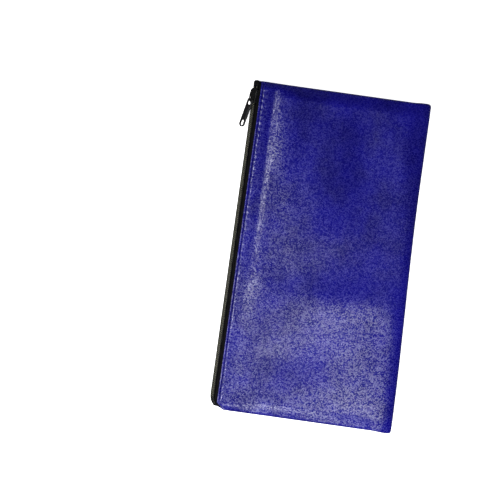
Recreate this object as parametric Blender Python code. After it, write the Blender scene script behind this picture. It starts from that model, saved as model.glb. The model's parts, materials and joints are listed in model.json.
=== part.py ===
"""Cash deposit bag: a flat pouch of one folded leatherette sheet with a nylon coil zipper along one long side.

Frame: X across the bag (zipper at -X, fold at +X), Y along the zipper (closed end at +Y), Z up.
The bag lies on its back panel and the origin is on the underside, at the middle of the bag.
All sizes are in metres.
"""

import math

import bmesh
import bpy
from mathutils import Matrix, Vector

# Bag
LENGTH = 0.2794
WIDTH = 0.1524  # zipper to fold, at mid length
WALL = 0.0009
ZIP_SHOW = 0.0064  # zipper that shows outside the front panel's edge
CROWN = 0.0130  # thickness over the middle of the bag
FOLD_HEIGHT = 0.0085
END_HEIGHT = 0.0040  # thickness at the end seams
END_SLOPE = 0.034  # run over which the panels come down to an end seam
END_SEAM = 0.0025  # closed strip past the pocket at each end
FOLD_SPREAD = 0.0045  # how much wider the slack end is than the closed end
SPREAD_SHARE = 0.75  # share of the length over which the fold spreads, up to the slack end
END_FULLNESS = 0.7  # below 1, the panels rise sooner from an end seam
MOUTH_SHARE = 0.2  # share of the width over which an end comes down from the mouth
LIP_LIFT = 0.0006  # back panel's edge stands off the table by this
LIP_RUN = 0.010  # and comes down to it over this
CORNER_CUT_X = 0.012  # front panel's corner cut at the slack end
CORNER_CUT_Y = 0.007
GAP = 0.0003  # clearance between pieces that touch

# Zipper chain: half sizes across (w) and through (n) the chain, pitch along it
CHAIN_TILT = math.radians(55)  # the chain's face leans outward by this from level
COIL_OUTER = 0.0024
COIL_HEAD = 0.00045  # an element's head reaches past the middle by this
COIL_ROOT = 0.00095
COIL_BELOW = 0.00075
COIL_ABOVE = 0.0009
COIL_PITCH = 0.00155
COIL_SHORT = 0.0012  # coil stops this far short of the closed end
TAPE = 0.0004
TAPE_TUCK = 0.008  # tape sewn under each panel edge
TAPE_BEND = 0.0010
TUCK_SPARE = 1.2  # the panel stays level over this many times the tuck
CURL_RUN = 0.012  # the chain curls in over this run at the slack end
CURL_RADIUS = 0.0125
MOUTH_END_SQUASH = 0.64  # the mouth's height at an end seam, as a share of its height elsewhere
SQUASH_RUN = 0.0065

# Slider
SLIDER_LENGTH = 0.0130
SLIDER_FROM_END = 0.0134  # slider's middle to the closed end
PLATE = 0.0007
FLANGE = 0.0007
THROAT_TAIL = -0.0013  # the channel widens from here, along the slider from its middle
THROAT_NOSE = 0.0026  # to here
POST_HALF = 0.0007  # divider post's half width
POST_LENGTH = 0.0038
BAIL_WIDTH = 0.0011
BAIL_THICK = 0.0009
BAIL_REAR = 0.0046  # rear leg's inner face, behind the slider's middle
BAIL_FRONT = 0.0036
HINGE_BEHIND = 0.0034  # pull tab's bar, behind the slider's middle
TRAVEL_SPARE = 0.0010

# Pull tab
TAB_LENGTH = 0.0250
TAB_WIDTH = 0.0060
TAB_THICK = 0.0012
TAB_BAR_RADIUS = 0.0006
TAB_SLOT_LENGTH = 0.0042
TAB_SLOT_WIDTH = 0.0032
TAB_HOLE_LENGTH = 0.0050
TAB_HOLE_WIDTH = 0.0030
TAB_TIP_RIM = 0.0011
TAB_ROLL = math.radians(15)  # the tab hangs level by this much of the chain's tilt
TAB_YAW = math.radians(14)  # and leans outward by this
TAB_PITCH = math.radians(2)
ROUND_SHARE = 0.98  # an end's corner radius, as a share of half its width

THREAD = 0.0003
STITCH_INSET = 0.0021

# Derived: the chain's own frame. w runs up the chain's width, n out of its face.
W = Vector((math.cos(CHAIN_TILT), 0, math.sin(CHAIN_TILT)))
N = Vector((-math.sin(CHAIN_TILT), 0, math.cos(CHAIN_TILT)))
Y = Vector((0, 1, 0))
HALF = LENGTH / 2
TAPE_TOP = -COIL_BELOW - GAP
TAPE_MIDDLE = TAPE_TOP - TAPE / 2
PLATE_INNER_TOP = COIL_ABOVE + GAP
PLATE_INNER_BOTTOM = TAPE_TOP - TAPE - GAP
SLIDER_TOP = PLATE_INNER_TOP + PLATE
SLIDER_BOTTOM = PLATE_INNER_BOTTOM - PLATE
COIL_PART = POST_HALF + COIL_HEAD + GAP / 2  # how far the post moves each half of the chain
NOSE_HALF = COIL_OUTER + COIL_PART + GAP + FLANGE
TAIL_HALF = COIL_OUTER + GAP + FLANGE
BACK_TAPE_Z = LIP_LIFT + WALL + GAP + TAPE / 2
CHAIN_Z = BACK_TAPE_Z + TAPE / 2 + GAP + NOSE_HALF * W.z - SLIDER_BOTTOM * N.z
TAPE_STRAIGHT = NOSE_HALF + GAP  # the tapes run straight this far from the chain's middle
CHAIN_REACH = COIL_OUTER * W.x - COIL_ABOVE * N.x
CHAIN_X = -WIDTH / 2 + CHAIN_REACH
LIP_X = -WIDTH / 2 + ZIP_SHOW
FRONT_TAPE_Z = CHAIN_Z + TAPE_STRAIGHT * W.z + TAPE_MIDDLE * N.z + TAPE_BEND * (1 - W.x)
MOUTH_HEIGHT = FRONT_TAPE_Z + TAPE / 2 + GAP + WALL
BACK_BEND = (CHAIN_Z - TAPE_STRAIGHT * W.z + TAPE_MIDDLE * N.z - BACK_TAPE_Z) / (1 + W.x)
BACK_LIP_X = CHAIN_X - TAPE_STRAIGHT * W.x + TAPE_MIDDLE * N.x + BACK_BEND * W.z + GAP
POCKET_END = HALF - END_SEAM
SLIDER_Y = HALF - SLIDER_FROM_END
POST_Y = SLIDER_Y + SLIDER_LENGTH / 2 - POST_LENGTH
HINGE_N = SLIDER_TOP + TAB_WIDTH / 2 * math.sin(TAB_ROLL) + TAB_THICK / 2 + GAP
BAIL_UNDER = HINGE_N + TAB_BAR_RADIUS / math.cos(TAB_ROLL) + BAIL_WIDTH / 2 * math.tan(TAB_ROLL) + GAP / 2
TRAVEL = SLIDER_Y - (-HALF + CURL_RUN + SLIDER_LENGTH / 2 + TRAVEL_SPARE)
TUCK_SHARE = TUCK_SPARE * TAPE_TUCK / WIDTH  # the panel stays level over the sewn tape


def smooth(t):
    """0 to 1 with level ends."""
    t = min(max(t, 0.0), 1.0)
    return t * t * (3 - 2 * t)


def mix(a, b, t):
    return a + (b - a) * t


def corner_cut(y):
    """How far the panels' edge is cut in at the slack end."""
    t = min(max((-HALF + CORNER_CUT_Y - y) / CORNER_CUT_Y, 0.0), 1.0)
    return CORNER_CUT_X * t**1.5


def fold_x(y):
    run = SPREAD_SHARE * LENGTH
    return WIDTH / 2 - FOLD_SPREAD / 3 + FOLD_SPREAD * smooth((run - HALF - y) / run)


def mouth_squash(y):
    """The mouth's height at y, as a share of its full height."""
    return mix(1.0, MOUTH_END_SQUASH, smooth((abs(y) - HALF + SQUASH_RUN) / SQUASH_RUN))


def settle(z, y):
    """Height z of the zipper's cross-section once the end seams have pulled it down."""
    return BACK_TAPE_Z + (z - BACK_TAPE_Z) * mouth_squash(y)


def top_z(x, y):
    """Height of the front panel's outer face."""
    share = (x - LIP_X - corner_cut(y)) / (fold_x(y) - LIP_X - corner_cut(y))
    across = max(0.0, (share - TUCK_SHARE) / (1 - TUCK_SHARE))
    level = mix(MOUTH_HEIGHT, FOLD_HEIGHT, across)
    full = level + (CROWN - mix(MOUTH_HEIGHT, FOLD_HEIGHT, 0.5)) * math.sin(math.pi * across)
    mouth = settle(full, y)
    rise = smooth((HALF - abs(y)) / END_SLOPE) ** END_FULLNESS
    panel = mix(END_HEIGHT, full, rise)
    return mix(mouth, panel, smooth(across / MOUTH_SHARE))


def wall_at(x, y):
    """Wall of the front panel, which is pressed a little at the mouth's ends."""
    share = (x - LIP_X - corner_cut(y)) / (fold_x(y) - LIP_X)
    return WALL * mix(mouth_squash(y), 1.0, smooth((share - TUCK_SHARE) / MOUTH_SHARE))


def bottom_z(x, y):
    """Height of the back panel's outer face: its edge lifts towards the zipper."""
    return LIP_LIFT * (1 - smooth((x - BACK_LIP_X - corner_cut(y) - TAPE_TUCK) / LIP_RUN))


def stations(step, low, high):
    count = max(2, round((high - low) / step))
    return [low + (high - low) * i / count for i in range(count + 1)]


def long_stations(limit):
    """Places along the bag, closer together where the end seams pull it down, out to plus and minus limit."""
    ys = stations(0.018, 0, HALF - END_SLOPE)[:-1]
    ys += stations(0.005, HALF - END_SLOPE, HALF - SQUASH_RUN)[:-1]
    ys += stations(SQUASH_RUN / 5, HALF - SQUASH_RUN, HALF)
    ys = [y for y in ys if y < limit - GAP] + [limit]
    return [-y for y in ys[:0:-1]] + ys


def bag_section(y, wall, reach):
    """Closed loop of (x, z) at y, inset by wall, with its mouth side moved out by reach."""
    front = LIP_X + corner_cut(y)
    back = BACK_LIP_X + corner_cut(y)
    fold = fold_x(y) - wall
    height = top_z(fold_x(y) - FOLD_HEIGHT / 2, y)
    radius = height / 2 - wall
    turn = fold - radius
    loop = []
    for share in [0, TUCK_SHARE / 2] + [mix(TUCK_SHARE, 1, (i / 10) ** 1.2) for i in range(10)]:
        x = mix(front, fold_x(y), share)
        loop.append((x, top_z(x, y) - (wall_at(x, y) if wall else 0)))
    loop.append((turn, height - wall))
    for i in range(1, 6):
        angle = math.pi / 2 - math.pi * i / 6
        loop.append((turn + radius * math.cos(angle), height / 2 + radius * math.sin(angle)))
    for i in range(7):
        x = mix(turn, back, 1 - (1 - i / 6) ** 1.5)
        loop.append((x, bottom_z(x, y) + wall))
    if reach:
        first, last = loop[0], loop[-1]
        loop.append((last[0] - reach, last[1]))
        loop.insert(0, (first[0] - reach, first[1]))
    return loop


def loft(bm, sections):
    """Joins closed loops of the same length into one closed solid."""
    rings = [[bm.verts.new(p) for p in section] for section in sections]
    count = len(rings[0])
    for low, high in zip(rings, rings[1:]):
        for i in range(count):
            j = (i + 1) % count
            bm.faces.new((low[i], low[j], high[j], high[i]))
    bm.faces.new(rings[0])
    bm.faces.new(rings[-1][::-1])


def material(name, colour, roughness, metallic=0.0):
    made = bpy.data.materials.new(name)
    made.use_nodes = True
    shader = made.node_tree.nodes["Principled BSDF"]
    shader.inputs["Base Color"].default_value = (*colour, 1)
    shader.inputs["Roughness"].default_value = roughness
    shader.inputs["Metallic"].default_value = metallic
    return made


def add_object(name, bm, finish=None, parent=None):
    """Makes a mesh object with outward faces from bm."""
    bmesh.ops.recalc_face_normals(bm, faces=bm.faces)
    mesh = bpy.data.meshes.new(name)
    bm.to_mesh(mesh)
    bm.free()
    obj = bpy.data.objects.new(name, mesh)
    bpy.context.scene.collection.objects.link(obj)
    obj.parent = parent
    if finish:
        mesh.materials.append(finish)
    else:
        obj.hide_render = True
        obj.display_type = "WIRE"
    return obj


def combine(target, tool, operation):
    cut = target.modifiers.new(tool.name, "BOOLEAN")
    cut.operation = operation
    cut.solver = "EXACT"
    cut.object = tool


def shade_round(obj):
    obj.data.shade_smooth()
    obj.data.set_sharp_from_angle(angle=math.radians(40))


def prism(name, outline, low, high, parent, finish=None, upright=False):
    """Extrudes an outline of (w, y) from n = low to high, or one of (y, n) across w if upright."""
    bm = bmesh.new()
    ends = []
    for level in (low, high):
        if upright:
            ends.append([(level, a, b) for a, b in outline])
        else:
            ends.append([(a, b, level) for a, b in outline])
    loft(bm, ends)
    return add_object(name, bm, finish, parent)


def make_shell(finish):
    """One sheet folded along +X, closed at both ends and open along the zipper."""
    bm = bmesh.new()
    loft(bm, [[(x, y, z) for x, z in bag_section(y, 0, 0)] for y in long_stations(HALF)])
    shell = add_object("shell", bm, finish)
    shade_round(shell)
    bm = bmesh.new()
    reach = ZIP_SHOW + CORNER_CUT_X
    loft(bm, [[(x, y, z) for x, z in bag_section(y, WALL, reach)] for y in long_stations(POCKET_END)])
    combine(shell, add_object("pocket", bm), "DIFFERENCE")


def curl(y):
    """How far the chain has curled in towards the bag at y."""
    t = max(0.0, -HALF + CURL_RUN - y)
    return CURL_RADIUS - math.sqrt(CURL_RADIUS**2 - t**2)


def chain_point(w, n, y):
    """World point at w across and n out of the chain, at y along it."""
    x = CHAIN_X + w * W.x + n * N.x + curl(y)
    return Vector((x, y, settle(CHAIN_Z + w * W.z + n * N.z, y)))


def parting(y):
    """How far each half of the chain has moved off the middle: it parts round the slider's post."""
    return COIL_PART * smooth((y - SLIDER_Y - THROAT_TAIL) / (THROAT_NOSE - THROAT_TAIL))


def tape_path(side):
    """Centre line of a tape as (x, z): straight through the slider, then bent level under its panel."""
    start = COIL_HEAD + GAP
    line = [(CHAIN_X + w * W.x + TAPE_MIDDLE * N.x, CHAIN_Z + w * W.z + TAPE_MIDDLE * N.z)
            for w in (side * start, side * TAPE_STRAIGHT)]
    heading = CHAIN_TILT if side > 0 else CHAIN_TILT + math.pi
    final = 0 if side > 0 else 2 * math.pi
    radius = TAPE_BEND if side > 0 else BACK_BEND
    x, z = line[-1]
    steps = 4 if side > 0 else 8
    turn = (final - heading) / steps
    for i in range(steps):
        angle = heading + turn * (i + 0.5)
        chord = 2 * radius * math.sin(abs(turn) / 2)
        x, z = x + chord * math.cos(angle), z + chord * math.sin(angle)
        line.append((x, z))
    end = (LIP_X if side > 0 else BACK_LIP_X) + TAPE_TUCK
    line.append((max(end, x + TAPE_TUCK / 2), z))
    return line


def thickened(line, width):
    """Closed loop at half the width on each side of an open line."""
    sides = [[], []]
    for i, point in enumerate(line):
        before, after = line[max(i - 1, 0)], line[min(i + 1, len(line) - 1)]
        here = Vector(point)
        ins = (here - Vector(before)).normalized() if i else Vector((0, 0))
        outs = (Vector(after) - here).normalized() if i < len(line) - 1 else Vector((0, 0))
        along = (ins + outs).normalized()
        normal = Vector((-along.y, along.x))
        spread = max(0.5, normal.dot(Vector((-outs.y, outs.x)))) if i < len(line) - 1 else 1.0
        for side, sign in zip(sides, (1, -1)):
            side.append(tuple(here + normal * sign * width / 2 / spread))
    return sides[0] + sides[1][::-1]


def make_tape(name, side, finish):
    """One woven tape, carrying one half of the coil."""
    loop = thickened(tape_path(side), TAPE)
    bm = bmesh.new()
    ys = long_stations(POCKET_END - GAP)
    loft(bm, [[(x + curl(y), y, settle(z, y)) for x, z in loop] for y in ys])
    add_object(name, bm, finish)


def make_coil(name, side, finish):
    """One half of the coil as a saw-toothed strip whose heads mesh with the other half's."""
    low, high = -POCKET_END + GAP, HALF - COIL_SHORT
    count = int((high - low) / COIL_PITCH)
    columns = []
    for i in range(2 * count):
        y = low + (i + 0.5) * COIL_PITCH / 2
        reach = -COIL_HEAD if (i % 2 == 0) == (side > 0) else COIL_ROOT
        off = parting(y)
        columns.append([side * (reach + off), side * (COIL_OUTER + off), y])
    bm = bmesh.new()
    sections = []
    for inner, outer, y in columns:
        corners = ((inner, -COIL_BELOW), (outer, -COIL_BELOW), (outer, COIL_ABOVE), (inner, COIL_ABOVE))
        sections.append([chain_point(w, n, y) for w, n in corners])
    loft(bm, sections)
    add_object(name, bm, finish)


def make_thread(name, points, finish):
    """A run of sewing thread as a thin tube along the points."""
    curve = bpy.data.curves.new(name, "CURVE")
    curve.dimensions = "3D"
    curve.bevel_depth = THREAD / 2
    curve.bevel_resolution = 1
    curve.use_fill_caps = True
    curve.materials.append(finish)
    run = curve.splines.new("POLY")
    run.points.add(len(points) - 1)
    for place, point in zip(run.points, points):
        place.co = (*point, 1)
    obj = bpy.data.objects.new(name, curve)
    bpy.context.scene.collection.objects.link(obj)


def make_threads(finish):
    """The two rows that sew the tapes in, and the lock stitch inside each end seam."""
    ys = [y for y in long_stations(POCKET_END) if y > -HALF + CORNER_CUT_Y]
    front = LIP_X + STITCH_INSET
    lift = GAP + THREAD / 2
    make_thread("front_topstitch", [(front, y, top_z(front, y) + lift) for y in ys], finish)
    back = BACK_LIP_X + STITCH_INSET
    make_thread("back_topstitch", [(back, y, bottom_z(back, y) - lift) for y in ys], finish)
    for name, end in (("closed_end_seam_thread", 1), ("slack_end_seam_thread", -1)):
        y = end * (POCKET_END - GAP - THREAD)
        left = LIP_X + CORNER_CUT_X + TAPE_TUCK
        right = fold_x(y) - FOLD_HEIGHT
        z = (END_HEIGHT + WALL) / 2
        make_thread(name, [(x, y, z) for x in stations(0.03, left, right)], finish)


def slider_outline(shrink, overrun=0.0):
    """Half widths of the slider in plan: a wide nose towards the closed end and a narrow tail."""
    half = SLIDER_LENGTH / 2 + overrun
    tail, nose = TAIL_HALF - shrink, NOSE_HALF - shrink
    corner = 0 if overrun else FLANGE * 1.4
    right = [(tail - corner * 0.6, -half), (tail, -half + corner), (tail, THROAT_TAIL)]
    right += [(nose, THROAT_NOSE), (nose, half - corner * 1.6), (nose - corner * 1.6, half)]
    return right + [(-w, y) for w, y in right[::-1]]


def make_slider(finish):
    """Slider frame and body: two plates joined by the post, with flanges and the bail over the top."""
    frame = bpy.data.objects.new("slider_frame", None)
    frame.location = chain_point(0, 0, SLIDER_Y)
    frame.rotation_euler = (0, -CHAIN_TILT, 0)
    bpy.context.scene.collection.objects.link(frame)
    body = prism("slider_body", slider_outline(0), SLIDER_BOTTOM, SLIDER_TOP, frame, finish)
    wide = 2 * NOSE_HALF
    ends = SLIDER_LENGTH
    slot = prism("tape_slot", [(-wide, -ends), (wide, -ends), (wide, ends), (-wide, ends)],
                 PLATE_INNER_BOTTOM, TAPE_TOP + GAP, frame)
    channel = prism("coil_channel", slider_outline(FLANGE, overrun=SLIDER_LENGTH / 4),
                    TAPE_TOP, PLATE_INNER_TOP, frame)
    combine(body, slot, "DIFFERENCE")
    combine(body, channel, "DIFFERENCE")
    post_y = POST_Y - SLIDER_Y
    tip = POST_LENGTH
    diamond = [(0, post_y - tip * 0.6), (POST_HALF, post_y), (POST_HALF, post_y + tip * 0.4),
               (0, post_y + tip * 0.9), (-POST_HALF, post_y + tip * 0.4), (-POST_HALF, post_y)]
    post = prism("post", diamond, PLATE_INNER_BOTTOM - PLATE / 2, PLATE_INNER_TOP + PLATE / 2, frame)
    combine(body, post, "UNION")
    rear, front, foot = -BAIL_REAR, BAIL_FRONT, SLIDER_TOP - PLATE / 2
    over = BAIL_UNDER + BAIL_THICK
    arch = [(rear - BAIL_THICK, foot), (rear - BAIL_THICK, over - BAIL_THICK), (rear, over),
            (front - BAIL_THICK, over), (front + 2 * BAIL_THICK, SLIDER_TOP + BAIL_THICK),
            (front + 2 * BAIL_THICK, foot), (front + BAIL_THICK, foot), (front, SLIDER_TOP + BAIL_THICK),
            (front - 1.5 * BAIL_THICK, BAIL_UNDER), (rear, BAIL_UNDER), (rear, foot)]
    bail = prism("bail", arch, -BAIL_WIDTH / 2, BAIL_WIDTH / 2, frame, upright=True)
    combine(body, bail, "UNION")


def tab_axes():
    """The tab's own directions at rest: along it, across it (its hinge axis) and out of its face."""
    lean = CHAIN_TILT - TAB_ROLL
    across = Vector((math.cos(lean), 0, math.sin(lean)))
    face = Vector((-math.sin(lean), 0, math.cos(lean)))
    flat = -Y * math.cos(TAB_YAW) - across * math.sin(TAB_YAW)
    along = flat * math.cos(TAB_PITCH) + face * math.sin(TAB_PITCH)
    return along, flat.cross(face), face * math.cos(TAB_PITCH) - flat * math.sin(TAB_PITCH)


def rounded(half, start, end, corner, steps=5):
    """Outline of (across, along) with rounded ends."""
    points = []
    for centre_a, centre_b, first in ((1, end, 0), (-1, end, 1), (-1, start, 2), (1, start, 3)):
        a = centre_a * (half - corner)
        b = centre_b + (-corner if centre_b == end else corner)
        for i in range(steps + 1):
            angle = math.pi / 2 * (first + i / steps)
            points.append((a + corner * math.cos(angle), b + corner * math.sin(angle)))
    return points


def make_tab(finish):
    """Pull tab: a bar under the bail, two legs, a solid middle and an oval hole near the tip."""
    along, axis, face = tab_axes()
    frame = bpy.data.objects.new("tab_hinge", None)
    place = chain_point(0, HINGE_N, SLIDER_Y - HINGE_BEHIND)
    turned = Matrix((axis, along, axis.cross(along))).transposed()
    frame.matrix_world = Matrix.Translation(place) @ turned.to_4x4()
    bpy.context.scene.collection.objects.link(frame)
    half, thick = TAB_WIDTH / 2, TAB_THICK / 2
    head = -TAB_BAR_RADIUS
    tip = TAB_LENGTH - TAB_BAR_RADIUS
    tab = prism("pull_tab", rounded(half, head, tip, half * ROUND_SHARE), -thick, thick, frame, finish)
    leg = (TAB_WIDTH - TAB_SLOT_WIDTH) / 2
    square = [(-half, head), (half, head), (half, half), (-half, half)]
    combine(tab, prism("tab_head", square, -thick, thick, frame), "UNION")
    slot_outline = rounded(half - leg, TAB_BAR_RADIUS, TAB_SLOT_LENGTH + TAB_BAR_RADIUS, half - leg - GAP)
    combine(tab, prism("tab_slot", slot_outline, -2 * thick, 2 * thick, frame), "DIFFERENCE")
    hole_end = tip - TAB_TIP_RIM
    hole = rounded(TAB_HOLE_WIDTH / 2, hole_end - TAB_HOLE_LENGTH, hole_end, TAB_HOLE_WIDTH / 2 * ROUND_SHARE)
    combine(tab, prism("tab_hole", hole, -2 * thick, 2 * thick, frame), "DIFFERENCE")


def main():
    for obj in list(bpy.data.objects):
        bpy.data.objects.remove(obj, do_unlink=True)
    vinyl = material("blue_leatherette", (0.012, 0.010, 0.20), 0.42)
    web = material("black_tape", (0.008, 0.008, 0.009), 0.85)
    nylon = material("black_nylon", (0.012, 0.012, 0.013), 0.38)
    thread = material("blue_thread", (0.014, 0.012, 0.22), 0.6)
    enamel = material("black_enamel", (0.010, 0.010, 0.011), 0.28)
    make_shell(vinyl)
    for half, side in (("front", 1), ("back", -1)):
        make_tape(half + "_tape", side, web)
        make_coil(half + "_coil", side, nylon)
    make_threads(thread)
    make_slider(enamel)
    make_tab(enamel)


main()
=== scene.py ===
"""Visual model of a cash deposit bag.

It is a flat leatherette pouch with a nylon coil zipper along one long side.
Frame: X across the bag (zipper at -X, fold at +X), Y along the zipper (closed end at +Y), Z up.
The bag lies on its back panel, the origin is on the underside, and all sizes are in metres.
"""
import json
import logging
import math
from dataclasses import dataclass
from enum import Enum
from typing import Callable, Sequence

import bmesh
import bpy
import numpy as np
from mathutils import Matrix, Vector


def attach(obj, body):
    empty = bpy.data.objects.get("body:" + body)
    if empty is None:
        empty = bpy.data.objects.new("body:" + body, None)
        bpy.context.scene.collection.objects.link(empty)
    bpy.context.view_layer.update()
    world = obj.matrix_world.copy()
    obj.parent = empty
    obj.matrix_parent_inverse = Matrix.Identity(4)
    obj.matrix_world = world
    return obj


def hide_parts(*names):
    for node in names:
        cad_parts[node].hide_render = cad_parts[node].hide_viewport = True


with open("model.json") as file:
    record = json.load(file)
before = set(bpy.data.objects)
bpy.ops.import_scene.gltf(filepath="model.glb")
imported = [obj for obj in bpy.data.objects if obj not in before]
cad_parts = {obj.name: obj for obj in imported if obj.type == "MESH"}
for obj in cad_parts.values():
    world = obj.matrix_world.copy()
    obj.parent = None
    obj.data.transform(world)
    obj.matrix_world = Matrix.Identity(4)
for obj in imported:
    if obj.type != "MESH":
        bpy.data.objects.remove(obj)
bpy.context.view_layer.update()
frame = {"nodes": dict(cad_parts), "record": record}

LOG = logging.getLogger("deposit_bag")
MM = 0.001
Solid = tuple[np.ndarray, list]


class Side(Enum):
    """The two halves of the zipper, and the panel that each is sewn to."""

    FRONT = 1
    BACK = -1


def ramp(t: np.ndarray | float) -> np.ndarray:
    """0 to 1 with level ends."""
    t = np.clip(t, 0.0, 1.0)
    return t * t * (3 - 2 * t)


def lerp(a: np.ndarray | float, b: np.ndarray | float, t: np.ndarray | float) -> np.ndarray | float:
    """From a to b as t goes from 0 to 1."""
    return a + (b - a) * t


def bell(distance: np.ndarray | float, width: float) -> np.ndarray:
    """1 at no distance, falling away over width on both sides."""
    return np.exp(-((np.asarray(distance) / width) ** 2))


class Wander:
    """Smooth unevenness that repeats exactly on every run."""

    def __init__(self, seed: int, cell: tuple[float, float], span: float = 0.4) -> None:
        """Draws the random heights.

        Args:
            seed: picks the pattern.
            cell: spacing of the random heights along X and Y.
            span: side of the square that the pattern covers, about the origin.
        """
        self.cell, self.span = cell, span
        counts = [int(span / c) + 4 for c in cell]
        self.heights = np.random.default_rng(seed).uniform(-1, 1, counts)

    def __call__(self, x: np.ndarray, y: np.ndarray) -> np.ndarray:
        """Height from -1 to 1 at x, y."""
        x, y = np.broadcast_arrays(x, y)
        u = (x + self.span / 2) / self.cell[0]
        v = (y + self.span / 2) / self.cell[1]
        i = np.clip(u.astype(int), 0, self.heights.shape[0] - 2)
        j = np.clip(v.astype(int), 0, self.heights.shape[1] - 2)
        s, t = ramp(u - i), ramp(v - j)
        low = lerp(self.heights[i, j], self.heights[i + 1, j], s)
        high = lerp(self.heights[i, j + 1], self.heights[i + 1, j + 1], s)
        return lerp(low, high, t)


@dataclass(frozen=True)
class BagForm:
    """Outer form of the bag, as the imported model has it, but fuller towards the two end seams."""

    length: float = 0.2794
    width: float = 0.1524
    wall: float = 0.0009
    zip_show: float = 0.0064
    crown: float = 0.0130
    fold_height: float = 0.0085
    end_height: float = 0.0075
    end_slope: float = 0.013
    end_seam: float = 0.0025
    end_fullness: float = 0.7
    fold_spread: float = 0.0045
    spread_share: float = 0.75
    lip_lift: float = 0.0006
    lip_run: float = 0.010
    corner_cut_x: float = 0.012
    corner_cut_y: float = 0.007
    gap: float = 0.0003
    tape: float = 0.0004
    tape_tuck: float = 0.008
    tuck_spare: float = 1.2
    mouth_share: float = 0.2
    mouth_height: float = 0.01296
    back_lip_x: float = -0.075139
    mouth_end_squash: float = 0.64
    squash_run: float = 0.0065
    stitch_inset: float = 0.0021
    stitch_pitch: float = 0.0047

    @property
    def half(self) -> float:
        """Half the bag's length."""
        return self.length / 2

    @property
    def lip_x(self) -> float:
        """Front panel's edge along the zipper."""
        return -self.width / 2 + self.zip_show

    @property
    def back_tape_z(self) -> float:
        """Height that the mouth's ends are pulled down to."""
        return self.lip_lift + self.wall + self.gap + self.tape / 2

    @property
    def pocket_end(self) -> float:
        """Where the end seams' sewing runs."""
        return self.half - self.end_seam

    @property
    def tuck_share(self) -> float:
        """Share of the front panel that lies level over the sewn tape."""
        return self.tuck_spare * self.tape_tuck / self.width

    def corner_cut(self, y: np.ndarray) -> np.ndarray:
        """How far the panels' edge is cut in at the slack end."""
        run = np.clip((-self.half + self.corner_cut_y - y) / self.corner_cut_y, 0, 1)
        return self.corner_cut_x * run**1.5

    def fold_x(self, y: np.ndarray) -> np.ndarray:
        """Outer face of the fold."""
        start = (1 - self.spread_share) * self.length
        spread = ramp((start - y) / (self.spread_share * self.length))
        return self.width / 2 - self.fold_spread / 3 + self.fold_spread * spread

    def squash(self, y: np.ndarray) -> np.ndarray:
        """The mouth's height at y, as a share of its full height."""
        near = (np.abs(y) - self.half + self.squash_run) / self.squash_run
        return lerp(1.0, self.mouth_end_squash, ramp(near))

    def settle(self, z: np.ndarray, y: np.ndarray) -> np.ndarray:
        """Height z of the zipper once the end seams have pulled it down."""
        return self.back_tape_z + (z - self.back_tape_z) * self.squash(y)

    def top_z(self, x: np.ndarray, y: np.ndarray) -> np.ndarray:
        """Height of the front panel's outer face, before its swells."""
        front = self.lip_x + self.corner_cut(y)
        share = (x - front) / (self.fold_x(y) - front)
        across = np.clip((share - self.tuck_share) / (1 - self.tuck_share), 0, 1)
        level = lerp(self.mouth_height, self.fold_height, across)
        middle = lerp(self.mouth_height, self.fold_height, 0.5)
        full = level + (self.crown - middle) * np.sin(np.pi * across)
        mouth = self.settle(full, y)
        rise = ramp((self.half - np.abs(y)) / self.end_slope) ** self.end_fullness
        panel = lerp(self.end_height, full, rise)
        return lerp(mouth, panel, ramp(across / self.mouth_share))

    def bottom_z(self, x: np.ndarray, y: np.ndarray) -> np.ndarray:
        """Height of the back panel's outer face."""
        run = (x - self.back_lip_x - self.corner_cut(y) - self.tape_tuck) / self.lip_run
        return self.lip_lift * (1 - ramp(run))


@dataclass(frozen=True)
class ChainForm:
    """The zipper chain's own frame: w runs across the chain, n out of its face and y along it."""

    bag: BagForm
    tilt: float = math.radians(55)
    x: float = -0.074086
    z: float = 0.007755
    outer: float = 0.0024
    head: float = 0.00045
    below: float = 0.00075
    above: float = 0.0009
    pitch: float = 0.00155
    short: float = 0.0012
    tape_middle: float = -0.00125
    tape_straight: float = 0.0050
    front_bend: float = 0.0010
    back_bend: float = 0.000599
    curl_run: float = 0.012
    curl_radius: float = 0.0125
    slider_y: float = 0.1263
    part: float = 0.0013
    throat_tail: float = -0.0013
    throat_nose: float = 0.0026

    @property
    def across(self) -> Vector:
        """Direction of w."""
        return Vector((math.cos(self.tilt), 0, math.sin(self.tilt)))

    @property
    def out(self) -> Vector:
        """Direction of n."""
        return Vector((-math.sin(self.tilt), 0, math.cos(self.tilt)))

    def curl(self, y: np.ndarray) -> np.ndarray:
        """How far the chain has curled in towards the bag at y."""
        run = np.maximum(0.0, -self.bag.half + self.curl_run - y)
        return self.curl_radius - np.sqrt(self.curl_radius**2 - run**2)

    def parting(self, y: np.ndarray) -> np.ndarray:
        """How far the slider's post has moved each half off the middle."""
        run = (y - self.slider_y - self.throat_tail) / (self.throat_nose - self.throat_tail)
        return self.part * ramp(run)

    def points(self, w: np.ndarray, n: np.ndarray, y: np.ndarray) -> np.ndarray:
        """World points, as rows, at w, n, y of the chain."""
        x = self.x + w * self.across.x + n * self.out.x + self.curl(y)
        z = self.bag.settle(self.z + w * self.across.z + n * self.out.z, y)
        return np.stack([x, y, z], axis=-1)


@dataclass(frozen=True)
class Swell:
    """One rounded rise or dent of the front panel, in millimetres, turned by angle degrees."""

    x: float
    y: float
    long: float
    wide: float
    angle: float
    height: float

    def __call__(self, x: np.ndarray, y: np.ndarray) -> np.ndarray:
        """Height in metres at x, y."""
        turn = math.radians(self.angle)
        dx, dy = x - self.x * MM, y - self.y * MM
        along = dx * math.cos(turn) + dy * math.sin(turn)
        side = -dx * math.sin(turn) + dy * math.cos(turn)
        return self.height * MM * bell(along, self.long * MM) * bell(side, self.wide * MM)


# ---------------------------------------------------------------------------------------------
# Materials


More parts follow.
